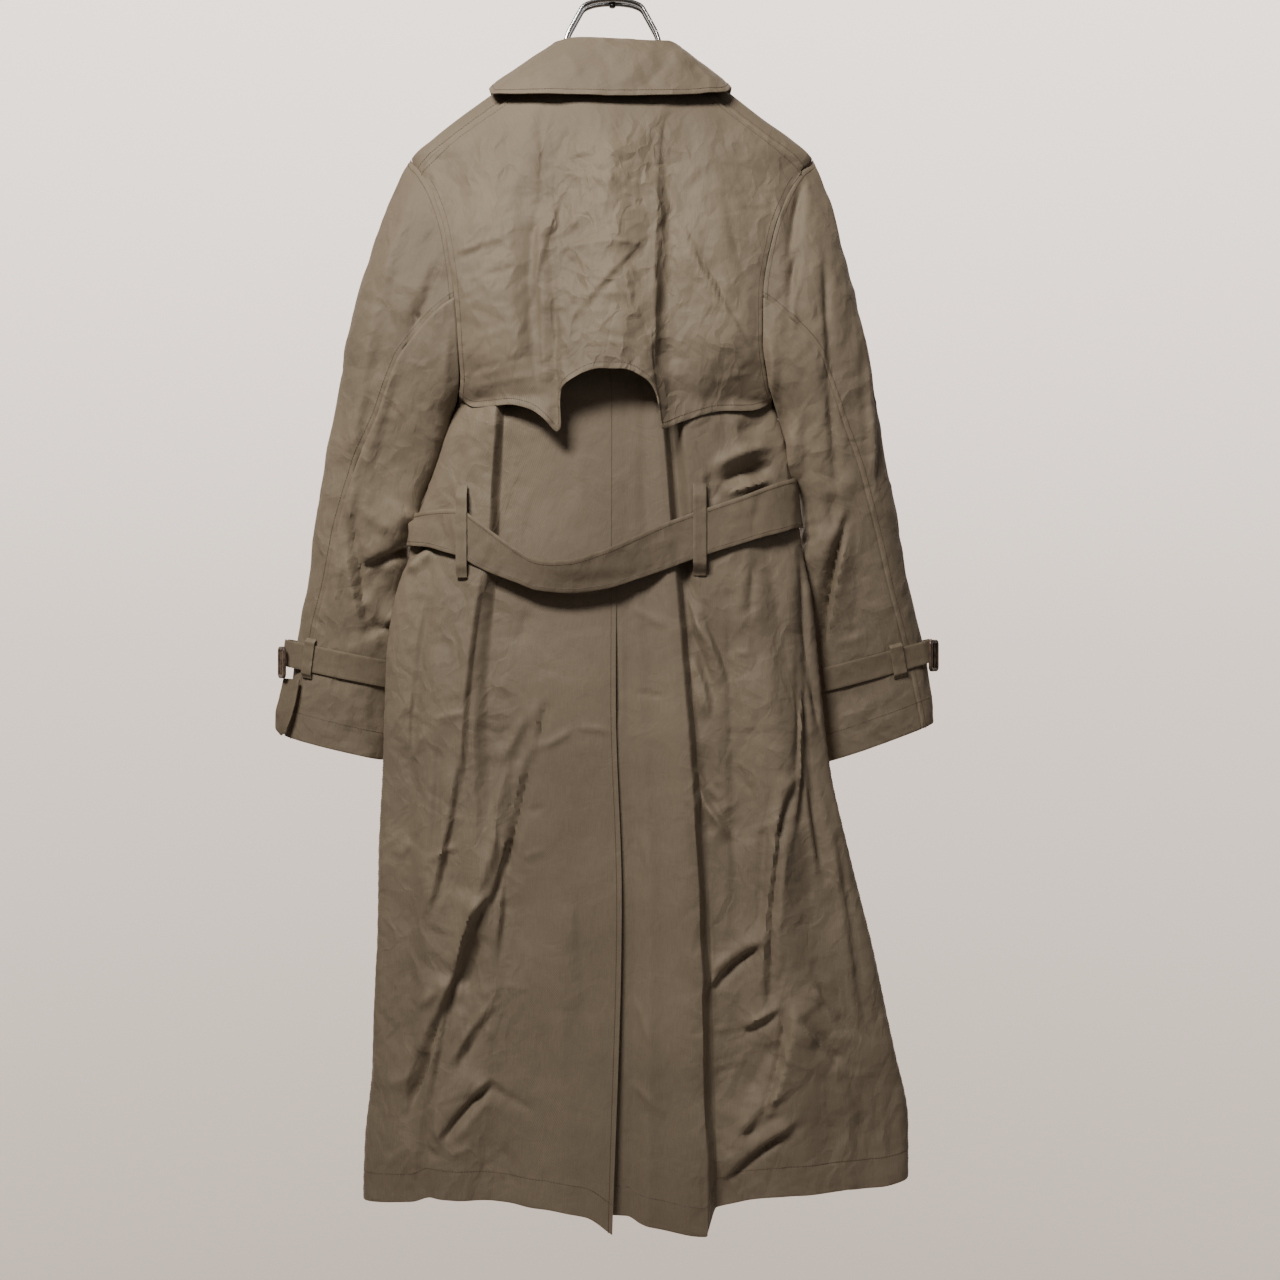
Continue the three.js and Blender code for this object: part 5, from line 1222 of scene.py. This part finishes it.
STRAP_STAND, KEEPER_STAND = 2.6, 2.2
across_strap = np.concatenate([[0, 0.05], np.linspace(0.1, 0.9, 7), [0.95, 1]])
for side, side_name in SIDES:
    strap = cloth(f"cuff_strap_{side_name}_strip", np.linspace(6, 354, 170), across_strap,
                  lambda u, v, side=side: strap_point(side, u, v, STRAP_STAND), side, strap_creases, "",
                  {"t": 3, "b": 3}, belt_cloth)
    built_in(strap["piece"], "belt_cloth", f"cuff_strap_{side_name}")

    def keeper_surface(u, v, side=side):
        over = ease(-0.25, -0.08, v) * ease(1.25, 1.08, v)
        return strap_point(side, CUFF_STRAPS[side][3] + u, v, KEEPER_STAND + mix(0.2, 3, over))

    keeper = cloth(f"cuff_keeper_{side_name}_strip", np.linspace(-7, 7, 9), np.linspace(-0.25, 1.25, 40),
                   keeper_surface, side, None, "", {"l": 1.5, "r": 1.5}, belt_cloth)
    built_in(keeper["piece"], "belt_cloth", f"cuff_keeper_{side_name}")


def strap_end_surface(u, v):
    outer_x, inner_x, outer_y, inner_y, outer_z, inner_z = np.moveaxis(row_at(STRAP_END, v + 0 * u), -1, 0)
    return np.stack([mix(outer_x, inner_x, u), mix(outer_y, inner_y, u), mix(outer_z, inner_z, u)], -1)


strap_end = cloth("cuff_strap_end_left_strip", np.linspace(0, 1, 12), np.linspace(0, 4, 40),
                  strap_end_surface, -1, None, "", {"l": 3, "r": 3, "b": 3}, belt_cloth)
built_in(strap_end["piece"], "belt_cloth", "cuff_strap_end_left")


# ------------------------------------------------------------------ buckles
# Square slide frames with a middle bar, covered in dark brown leather that is pasted round them:
# a large one before the belt's end, and one on each cuff strap, standing out from the cuff.
leather, hide, hide_face = finish("dark brown leather cover, waxed", "#3d3028", 0.42)
hide_place = node(hide, "ShaderNodeTexCoord")
pebbles = node(hide, "ShaderNodeTexVoronoi", {"Vector": hide_place.outputs["Object"], "Scale": 900.0})
wear = node(hide, "ShaderNodeTexNoise", {"Vector": hide_place.outputs["Object"], "Scale": 160.0, "Detail": 4.0})
worn_hide = node(hide, "ShaderNodeMapRange", {"Value": wear.outputs[0], "From Min": 0.4, "From Max": 0.75})
hide_colour = node(hide, "ShaderNodeMix", {"Factor": worn_hide.outputs[0], "A": linear("#3d3028"),
                                           "B": linear("#6b5846")}, data_type="RGBA")
hide_bump = node(hide, "ShaderNodeBump",
                 {"Height": pebbles.outputs["Distance"], "Strength": 0.4, "Distance": 0.0004})
hide.links.new(hide_colour.outputs[2], hide_face.inputs["Base Color"])
hide.links.new(hide_bump.outputs[0], hide_face.inputs["Normal"])


def outward(made):
    """Turns a closed mesh's faces to point out."""
    if sum(face.area * face.center.dot(face.normal) for face in made.data.polygons) < 0:
        made.data.flip_normals()
    return made


def tube(name, path, across, up, half_width, half_height, material, sides=16, closed=False, square=0.5):
    """A bar of rounded section along a path. across and up are its two directions at each point."""
    path, across, up = (np.asarray(a, float) for a in (path, across, up))
    around = np.linspace(0, 2 * math.pi, sides, endpoint=False)
    cosine, sine = np.cos(around), np.sin(around)
    wide = np.sign(cosine) * np.abs(cosine) ** square * half_width
    high = np.sign(sine) * np.abs(sine) ** square * half_height
    rings = path[:, None] + across[:, None] * wide[:, None] + up[:, None] * high[:, None]
    at = np.arange(len(path) * sides).reshape(len(path), sides)
    after = np.roll(at, -1, 1)
    quads = np.stack([at, after, np.roll(after, -1, 0), np.roll(at, -1, 0)], -1)
    faces = quads[: None if closed else -1].reshape(-1, 4).tolist()
    if not closed:
        faces += [at[0, ::-1].tolist(), at[-1].tolist()]
    return outward(mesh_piece(name, rings.reshape(-1, 3), faces, material))


def join(pieces, name):
    """One object of several."""
    with bpy.context.temp_override(active_object=pieces[0], selected_editable_objects=pieces,
                                   selected_objects=pieces):
        bpy.ops.object.join()
    pieces[0].name = name
    return pieces[0]


def rounded_outline(half_width, half_height, corner, steps):
    """Points round a rectangle with round corners, and the outward way at each."""
    points, ways = [], []
    for k, (side, end) in enumerate([(1, 1), (-1, 1), (-1, -1), (1, -1)]):
        for angle in np.linspace(0, math.pi / 2, steps) + k * math.pi / 2:
            way = math.cos(angle), math.sin(angle)
            points.append((side * (half_width - corner) + corner * way[0],
                           end * (half_height - corner) + corner * way[1]))
            ways.append(way)
    return np.array(points), np.array(ways)


FRAME_STEPS, BAR_STEPS = 120, 24


def covered_frame(name, width, height, bar, thickness, centre, turn):
    """A buckle of the given size, upright at centre (in mm) and facing the direction turn."""
    aside, out = np.array([math.cos(turn), math.sin(turn), 0]), np.array([math.sin(turn), -math.cos(turn), 0])
    half_height = (height - bar) / 2
    path, ways = rounded_outline((width - bar) / 2, half_height, bar * 0.75, 9)
    steps, turns = np.linspace(0, len(path), FRAME_STEPS, endpoint=False), np.arange(len(path) + 1)
    path, ways = ([np.interp(steps, turns, np.append(a[:, i], a[0, i])) for i in (0, 1)] for a in (path, ways))
    rim = tube(name, centre + np.outer(path[0], aside) + np.outer(path[1], UP),
               np.outer(ways[0], aside) + np.outer(ways[1], UP), np.tile(out, (FRAME_STEPS, 1)), bar / 2,
               thickness / 2, leather, closed=True, square=0.62)
    run = np.linspace(-half_height, half_height, BAR_STEPS)
    middle = tube(name + "_bar", centre + np.outer(run, UP), np.tile(aside, (BAR_STEPS, 1)),
                  np.tile(out, (BAR_STEPS, 1)), bar * 0.42, thickness * 0.42, leather, square=0.8)
    return join([rim, middle], name)


# width, height, width and thickness of the bars
BELT_BUCKLE, CUFF_BUCKLE = (58, 62, 7, 3.6), (19, 33, 4, 3.5)
# side, how far clear of the strap, how far it sags
CUFF_BUCKLES = {"left": (-1, 2.6, 10), "right": (1, 1.6, 6)}
belt_frame = covered_frame("belt_buckle_frame", *BELT_BUCKLE, np.array([8, -8.2, -594.0]), math.pi)
built_in(belt_frame, "buckle", "belt_buckle")
for side_name, (side, clear, sag) in CUFF_BUCKLES.items():
    stand = STRAP_STAND + clear + CUFF_BUCKLE[3] / 2
    low, high = (strap_point(side, np.array(float(BUCKLE_ANGLE)), np.array(0.5), s) for s in (0.0, stand))
    turn = math.atan2(high[0] - low[0], low[1] - high[1])
    cuff_frame = covered_frame(f"cuff_buckle_{side_name}_frame", *CUFF_BUCKLE, high - UP * sag, turn)
    built_in(cuff_frame, "buckle", f"cuff_buckle_{side_name}")


# ------------------------------------------------------------------ front buttons
# Six four-hole buttons, turned from dark brown polyester that looks like horn, with a raised rim
# and a dished face. Each is sewn to the right front with two crossed turns of thread.
horn, horn_tree, horn_face = finish("horn-look polyester, polished", "#3a2a20", 0.24)
horn_place = node(horn_tree, "ShaderNodeTexCoord")
grain = node(horn_tree, "ShaderNodeTexWave",
             {"Vector": horn_place.outputs["Object"], "Scale": 28.0, "Distortion": 9.0, "Detail": 3.0})
horn_colour = node(horn_tree, "ShaderNodeMix", {"Factor": grain.outputs["Fac"], "A": linear("#3a2a20"),
                                                "B": linear("#6d5240")}, data_type="RGBA")
horn_tree.links.new(horn_colour.outputs[2], horn_face.inputs["Base Color"])
thread = finish("brown polyester sewing thread", "#5b4c3c", 0.55)[0]

# radius, distance along the axis
BUTTON_PROFILE = [(0, -1.6), (10.4, -1.9), (12.3, -1.2), (13, 0.2), (12.7, 1.5), (11.8, 2), (10.8, 1.7),
                  (9.8, 0.9), (8, 0.5), (4, 0.3), (0, 0.3)]
BUTTONS = [(-34, -440), (58, -440), (-34, -515), (58, -515), (-34, -700), (58, -700)]  # across, height
BUTTON_LIFT, HOLE_RADIUS, HOLE_OUT = 2.6, 1.1, 2.2
THREAD_RADIUS, THREAD_TOP, THREAD_ARCH = 0.28, 0.35, 0.75


def turned(name, profile, material, centre, axis, segments):
    """A turned piece: its profile is (radius, along the axis), and centre is where the axis starts."""
    axis = np.asarray(axis, float)
    first = np.cross(axis, [0, 0, 1.0] if abs(axis[2]) < 0.9 else [1.0, 0, 0])
    first /= np.linalg.norm(first)
    second = np.cross(axis, first)
    around = np.linspace(0, 2 * math.pi, segments, endpoint=False)
    points = [centre + axis * along + (first * math.cos(angle) + second * math.sin(angle)) * max(radius, 1e-3)
              for radius, along in profile for angle in around]
    faces = []
    for k in range(len(profile) - 1):
        for s in range(segments):
            a, b = k * segments + s, k * segments + (s + 1) % segments
            faces.append([a, b, b + segments, a + segments])
    made = mesh_piece(name, points, faces, material)
    made.data.set_sharp_from_angle(angle=math.radians(50))
    return outward(made)


def settle(made):
    """Makes what the modifiers give the object's own mesh."""
    mesh = bpy.data.meshes.new_from_object(made.evaluated_get(bpy.context.evaluated_depsgraph_get()))
    made.modifiers.clear()
    made.data = mesh


def cut_out(made, tool):
    """Takes a tool's form out of a piece, and the tool away."""
    cut = made.modifiers.new("cut", "BOOLEAN")
    cut.object, cut.operation, cut.solver = tool, "DIFFERENCE", "EXACT"
    settle(made)
    bpy.data.objects.remove(tool)


for k, (x, z) in enumerate(BUTTONS):
    highest = max(float(front_y(np.array(x + step * 1.0), np.array(z * 1.0))) for step in (-13, -6, 0, 6, 13))
    centre = np.array([x, highest + BUTTON_LIFT, z])
    button = turned(f"button_{k + 1}_turned", BUTTON_PROFILE, horn, centre, (0, 1, 0), 40)
    drill_profile = [(0, -3), (HOLE_RADIUS, -3), (HOLE_RADIUS, 3), (0, 3)]
    drills = [turned(f"drill_{k}_{dx}_{dz}", drill_profile, horn,
                     centre + np.array([dx * HOLE_OUT, 0, dz * HOLE_OUT]), (0, 1, 0), 12)
              for dx, dz in ((-1, -1), (1, -1), (-1, 1), (1, 1))]
    cut_out(button, join(drills, f"drill_{k}"))
    built_in(button, "button", f"front_button_{k + 1}")
    turns = []
    for dx in (-1, 1):
        bend = np.linspace(0, math.pi, 13)
        for shift in (-THREAD_RADIUS, THREAD_RADIUS):
            path = np.stack([dx * HOLE_OUT * -np.cos(bend) + shift, THREAD_TOP + THREAD_ARCH * np.sin(bend),
                             HOLE_OUT * -np.cos(bend)], -1)
            aside = np.tile([0.7071, 0, -0.7071 * dx], (13, 1))
            turns.append(tube(f"turn_{k}_{dx}_{shift}", centre + path, aside,
                              np.cross(aside, np.gradient(path, axis=0) / 0.5), THREAD_RADIUS, THREAD_RADIUS,
                              thread, 8, square=1))
    built_in(join(turns, f"button_{k + 1}_thread"), "coat_cloth")


# ------------------------------------------------------------------ hanger
# One closed loop of chromed steel wire, two runs side by side, bent up at the neck. A dark steel
# spool is held between the runs, and carries the hook, which turns in it.
chrome, chrome_tree, chrome_face = finish("chromed steel wire", "#c4c7ca", 0.15, 1.0)
wire_place = node(chrome_tree, "ShaderNodeTexCoord")
smudge = node(chrome_tree, "ShaderNodeTexNoise",
              {"Vector": wire_place.outputs["Object"], "Scale": 90.0, "Detail": 4.0})
gloss = node(chrome_tree, "ShaderNodeMapRange", {"Value": smudge.outputs[0], "To Min": 0.06, "To Max": 0.24})
chrome_tree.links.new(gloss.outputs[0], chrome_face.inputs["Roughness"])
dark_steel = finish("blued steel", "#2b2a2c", 0.35, 0.8)[0]

# across and height of one half of a wire run, from the top of the neck arch to the shoulder
WIRE_RUN = [(0, -77.6), (12, -78.2), (22, -80.2), (29.5, -84), (34, -91), (39, -100), (44.5, -110.5),
            (48, -121), (52, -131), (60, -142), (73, -152), (87, -161), (102, -171), (127, -188.5),
            (154, -209.5), (176, -227), (186, -235.5)]
WIRE_RADIUS, HOOK_RADIUS, WIRE_SIDES = 2.2, 2.4, 14
WIRE_FRONT, WIRE_REAR, HANGER_DEPTH = -74, -84, -79


def smooth_path(points, per, closed=False):
    """A smooth curve through points, with so many steps between each two."""
    points = np.asarray(points, float)
    if closed:
        points = np.concatenate([points[-1:], points, points[:2]])
    else:
        points = np.concatenate([[2 * points[0] - points[1]], points, [2 * points[-1] - points[-2]]])
    path = []
    for p0, p1, p2, p3 in zip(points, points[1:], points[2:], points[3:]):
        d0, d1, d2 = (max(np.linalg.norm(b - a), 1e-6) ** 0.5 for a, b in ((p0, p1), (p1, p2), (p2, p3)))
        go = ((p1 - p0) / d0 - (p2 - p0) / (d0 + d1) + (p2 - p1) / d1) * d1
        come = ((p2 - p1) / d1 - (p3 - p1) / (d1 + d2) + (p3 - p2) / d2) * d1
        for t in np.arange(per) / per:
            path.append(p1 + go * t + (3 * (p2 - p1) - 2 * go - come) * t**2
                        + (2 * (p1 - p2) + go + come) * t**3)
    if not closed:
        path.append(points[-2])
    return np.array(path)


def wire(name, path, radius, closed=False):
    """Round chromed wire along a path, its ends rounded off."""
    tangent = np.roll(path, -1, 0) - np.roll(path, 1, 0) if closed else np.gradient(path, axis=0)
    tangent /= np.linalg.norm(tangent, axis=1, keepdims=True)
    across = []
    way = np.array([0, 1.0, 0]) if abs(tangent[0][1]) < 0.9 else np.array([1.0, 0, 0])
    for direction in tangent:
        way = way - direction * way.dot(direction)
        way = way / np.linalg.norm(way)
        across.append(way)
    across = np.array(across)
    if not closed:
        caps = [(1.0, 0.0), (0.92, 0.4), (0.7, 0.72), (0.38, 0.93), (0.05, 1.0)]  # width, reach
        grow = [(path[0] - tangent[0] * radius * far, across[0] * wide, tangent[0]) for wide, far in caps[::-1]]
        grow += list(zip(path[1:-1], across[1:-1], tangent[1:-1]))
        grow += [(path[-1] + tangent[-1] * radius * far, across[-1] * wide, tangent[-1]) for wide, far in caps]
        path, across, tangent = (np.array(column) for column in zip(*grow))
    return tube(name, path, across, np.cross(tangent, across), radius, radius, chrome, WIRE_SIDES, closed, 1.0)


half_run = WIRE_RUN[1:]
run = [(-x, z) for x, z in half_run[::-1]] + WIRE_RUN
end_x, end_z = WIRE_RUN[-1][0] + 4.5, WIRE_RUN[-1][1] - 3.4  # where the wire turns back
loop_points = [*[(x, WIRE_FRONT, z) for x, z in run], (end_x, HANGER_DEPTH, end_z),
               *[(x, WIRE_REAR, z) for x, z in run[::-1]], (-end_x, HANGER_DEPTH, end_z)]
hanger = wire("hanger_wire_chromed", smooth_path(loop_points, 7, True), WIRE_RADIUS, True)
built_in(hanger, "chrome_wire", "hanger_wire")

# radius, height
SPOOL = [(0, -83), (2.8, -83), (3.2, -82.6), (3.2, -80.1), (2.9, -79.8), (2.4, -79.8), (2.4, -74.9), (9, -74.9),
         (9.5, -74.4), (9.5, -69), (9.1, -68), (5.3, -64.3), (4.8, -64), (0, -64)]
spool = turned("hanger_boss_turned", SPOOL, dark_steel, np.array([0, HANGER_DEPTH, 0]), (0, 0, 1), 40)
built_in(spool, "boss", "hanger_boss")

# across, height
HOOK_RUN = [(0, -63.6), (0, -38), (4, -31), (12, -22), (16, -10), (13.5, 0.5), (7.5, 6), (0, 8), (-7.5, 6),
            (-13.5, 0.5), (-16, -8), (-17.5, -16)]
hook = wire("hanger_hook_chromed", smooth_path([(x, HANGER_DEPTH, z) for x, z in HOOK_RUN], 8), HOOK_RADIUS)
built_in(hook, "chrome_wire", "hanger_hook")


# ------------------------------------------------------------------ wall hook
# A plain hook of satin steel: a small plate with eased edges, held by two slotted screws, and a
# round rod that turns up at its end so that the hanger can't slip off.
satin, satin_tree, satin_face = finish("satin-brushed steel", "#b9b8b5", 0.3, 1.0)
brushed = node(satin_tree, "ShaderNodeMapping",
               {"Vector": node(satin_tree, "ShaderNodeTexCoord").outputs["Object"], "Scale": (2500, 2500, 90)})
strokes = node(satin_tree, "ShaderNodeTexNoise", {"Vector": brushed.outputs[0], "Scale": 1.0, "Detail": 3.0})
sheen = node(satin_tree, "ShaderNodeMapRange", {"Value": strokes.outputs[0], "To Min": 0.22, "To Max": 0.42})
satin_tree.links.new(sheen.outputs[0], satin_face.inputs["Roughness"])

PLATE_WIDTH, PLATE_HEIGHT, PLATE_THICKNESS, PLATE_CORNER, PLATE_EASE = 34, 64, 4, 2, 0.8
half_w, half_h = PLATE_WIDTH / 2, PLATE_HEIGHT / 2
outline = rounded_outline(half_w, half_h, PLATE_CORNER, 6)[0]
# how far the outline is drawn in, depth
layers = [(0, 0), (0, -PLATE_THICKNESS + PLATE_EASE), (0.25, -PLATE_THICKNESS + 0.25),
          (PLATE_EASE, -PLATE_THICKNESS)]
plate_points = [(x * (1 - back / half_w), y, z * (1 - back / half_h)) for back, y in layers for x, z in outline]
at = np.arange(len(plate_points)).reshape(len(layers), -1)
after = np.roll(at, -1, 1)
plate_faces = np.stack([at[:-1], after[:-1], after[1:], at[1:]], -1).reshape(-1, 4).tolist()
plate_faces += [at[0, ::-1].tolist(), at[-1].tolist()]
plate = outward(mesh_piece("wall_plate_eased", plate_points, plate_faces, satin))
plate.data.set_sharp_from_angle(angle=math.radians(40))
built_in(plate, "wall_hook", "wall_plate")

# radius, distance before the plate
SCREW = [(0, 0), (4.4, 0), (4.6, 0.3), (4.2, 1.1), (3.2, 1.7), (1.6, 2.0), (0, 2.05)]
SCREW_HEIGHTS, SCREW_GAP = (("upper", 22), ("lower", -22)), 0.3
for place, z in SCREW_HEIGHTS:
    centre = np.array([0, -PLATE_THICKNESS - SCREW_GAP, z])
    screw = turned(f"wall_screw_{place}_slotted", SCREW, satin, centre, (0, -1, 0), 32)
    corners = [centre + np.array([a, b, c]) for a in (-5, 5) for b in (-3, -0.9) for c in (-0.55, 0.55)]
    sides = [(0, 1, 3, 2), (4, 6, 7, 5), (0, 4, 5, 1), (2, 3, 7, 6), (0, 2, 6, 4), (1, 5, 7, 3)]
    cut_out(screw, outward(mesh_piece(f"blade_{place}", corners, sides, satin)))
    built_in(screw, "wall_hook", f"wall_screw_{place}")

# depth, height
ROD_RUN = [(-4.3, 0), (-20, 0), (-50, 0), (-82, 0), (-91, 3), (-96, 10), (-97, 20)]
ROD_RADIUS, ROD_RISE = 4, 1.2
rod_path = smooth_path([(0, y, z + ROD_RISE) for y, z in ROD_RUN], 8)
rod_way = np.gradient(rod_path, axis=0)
rod_way /= np.linalg.norm(rod_way, axis=1, keepdims=True)
rod = tube("wall_rod_satin", rod_path, np.tile([1.0, 0, 0], (len(rod_path), 1)),
           np.cross(rod_way, [1.0, 0, 0]), ROD_RADIUS, ROD_RADIUS, satin, 24, False, 1.0)
rod.data.set_sharp_from_angle(angle=math.radians(50))
built_in(rod, "wall_hook", "wall_rod")


# ------------------------------------------------------------------ topstitching
# Every seam is pressed to one side and topstitched, and hems and edges are stitched down, with
# brown thread at three and a half stitches to the centimetre.
STITCH_SIZES = {"Pitch": 3.0, "Length": 2.2, "Radius": 0.34}

topstitching = bpy.data.node_groups.new("topstitching", "GeometryNodeTree")
for way in ("INPUT", "OUTPUT"):
    topstitching.interface.new_socket("Geometry", in_out=way, socket_type="NodeSocketGeometry")
stitch_inputs = {}
for size_name, size in STITCH_SIZES.items():
    socket = topstitching.interface.new_socket(size_name, in_out="INPUT", socket_type="NodeSocketFloat")
    stitch_inputs[socket.identifier] = size / 1000
given = node(topstitching, "NodeGroupInput").outputs
curve = node(topstitching, "GeometryNodeMeshToCurve", {"Mesh": given["Geometry"]})
spaced = node(topstitching, "GeometryNodeCurveToPoints",
              {"Curve": curve.outputs[0], "Length": given["Pitch"]}, mode="LENGTH")
stitch = node(topstitching, "GeometryNodeMeshCylinder",
              {"Vertices": 6, "Radius": given["Radius"], "Depth": given["Length"]})
laid = node(topstitching, "GeometryNodeInstanceOnPoints",
            {"Points": spaced.outputs["Points"], "Instance": stitch.outputs["Mesh"],
             "Rotation": spaced.outputs["Rotation"]})
real = node(topstitching, "GeometryNodeRealizeInstances", {"Geometry": laid.outputs[0]})
dyed = node(topstitching, "GeometryNodeSetMaterial", {"Geometry": real.outputs[0], "Material": thread})
node(topstitching, "NodeGroupOutput", {0: dyed.outputs[0]})


def inset_line(panel, edge, distance, start=0.0):
    """The line on a panel that runs so far inside one of its edges, without the first share of it."""
    points, far = panel["outer"] + panel["normal"] * 0.05, panel["inside"][edge]
    if edge in "tb":
        points, far = points.transpose(1, 0, 2), far.T
    if edge in "rb":
        points, far = points[:, ::-1], far[:, ::-1]
    line = [[np.interp(distance, row_far, row[:, axis]) for axis in range(3)]
            for row, row_far in zip(points, far)]
    return np.array(line)[int(start * len(line)) :]


def stitched(name, lines):
    """Stitches of one seam or group of seams, each line an array of points."""
    points, edges = [], []
    for line in lines:
        first = len(points)
        points += line.tolist()
        edges += [(first + k, first + k + 1) for k in range(len(line) - 1)]
    mesh = bpy.data.meshes.new(name)
    mesh.from_pydata((np.array(points) / 1000).tolist(), edges, [])
    made = bpy.data.objects.new(name, mesh)
    scene.collection.objects.link(made)
    modifier = made.modifiers.new("stitches", "NODES")
    modifier.node_group = topstitching
    for identifier, size in stitch_inputs.items():
        modifier[identifier] = size
    settle(made)
    built_in(made, "coat_cloth")


SEAMS = {
    # each line: panel, its edge, how far inside that edge, the share of its start that is left out
    "flap": [(storm_flap, "b", 6), (storm_flap, "l", 5, 0.1), (storm_flap, "r", 5, 0.1), (storm_flap, "t", 5)],
    "back_left": [(back_left, "b", 29), (back_left, "r", 5, 0.1), (back_left, "l", 5, 0.1)],
    "back_right": [(back_right, "b", 29), (back_right, "r", 5, 0.1)],
    "fronts": [(fronts[side], *line) for side in (-1, 1) for line in (("b", 29), ("l", 6), ("t", 5))],
}
for side, side_name in SIDES:
    upper, under = sleeves[side, "upper"], sleeves[side, "under"]
    SEAMS[f"sleeve_{side_name}"] = [(upper, "r", 5, 0.02), (upper, "t", 5), (upper, "b", 28), (under, "b", 28)]
SEAMS["collar"] = [(collar_fall, "b", 5), (collar_fall, "l", 5, 0.15), (collar_fall, "r", 5, 0.15)]
SEAMS["belt"] = [(belt, "t", 4), (belt, "b", 4)]
for seam, lines in SEAMS.items():
    stitched(f"stitches_{seam}", [inset_line(*line) for line in lines])
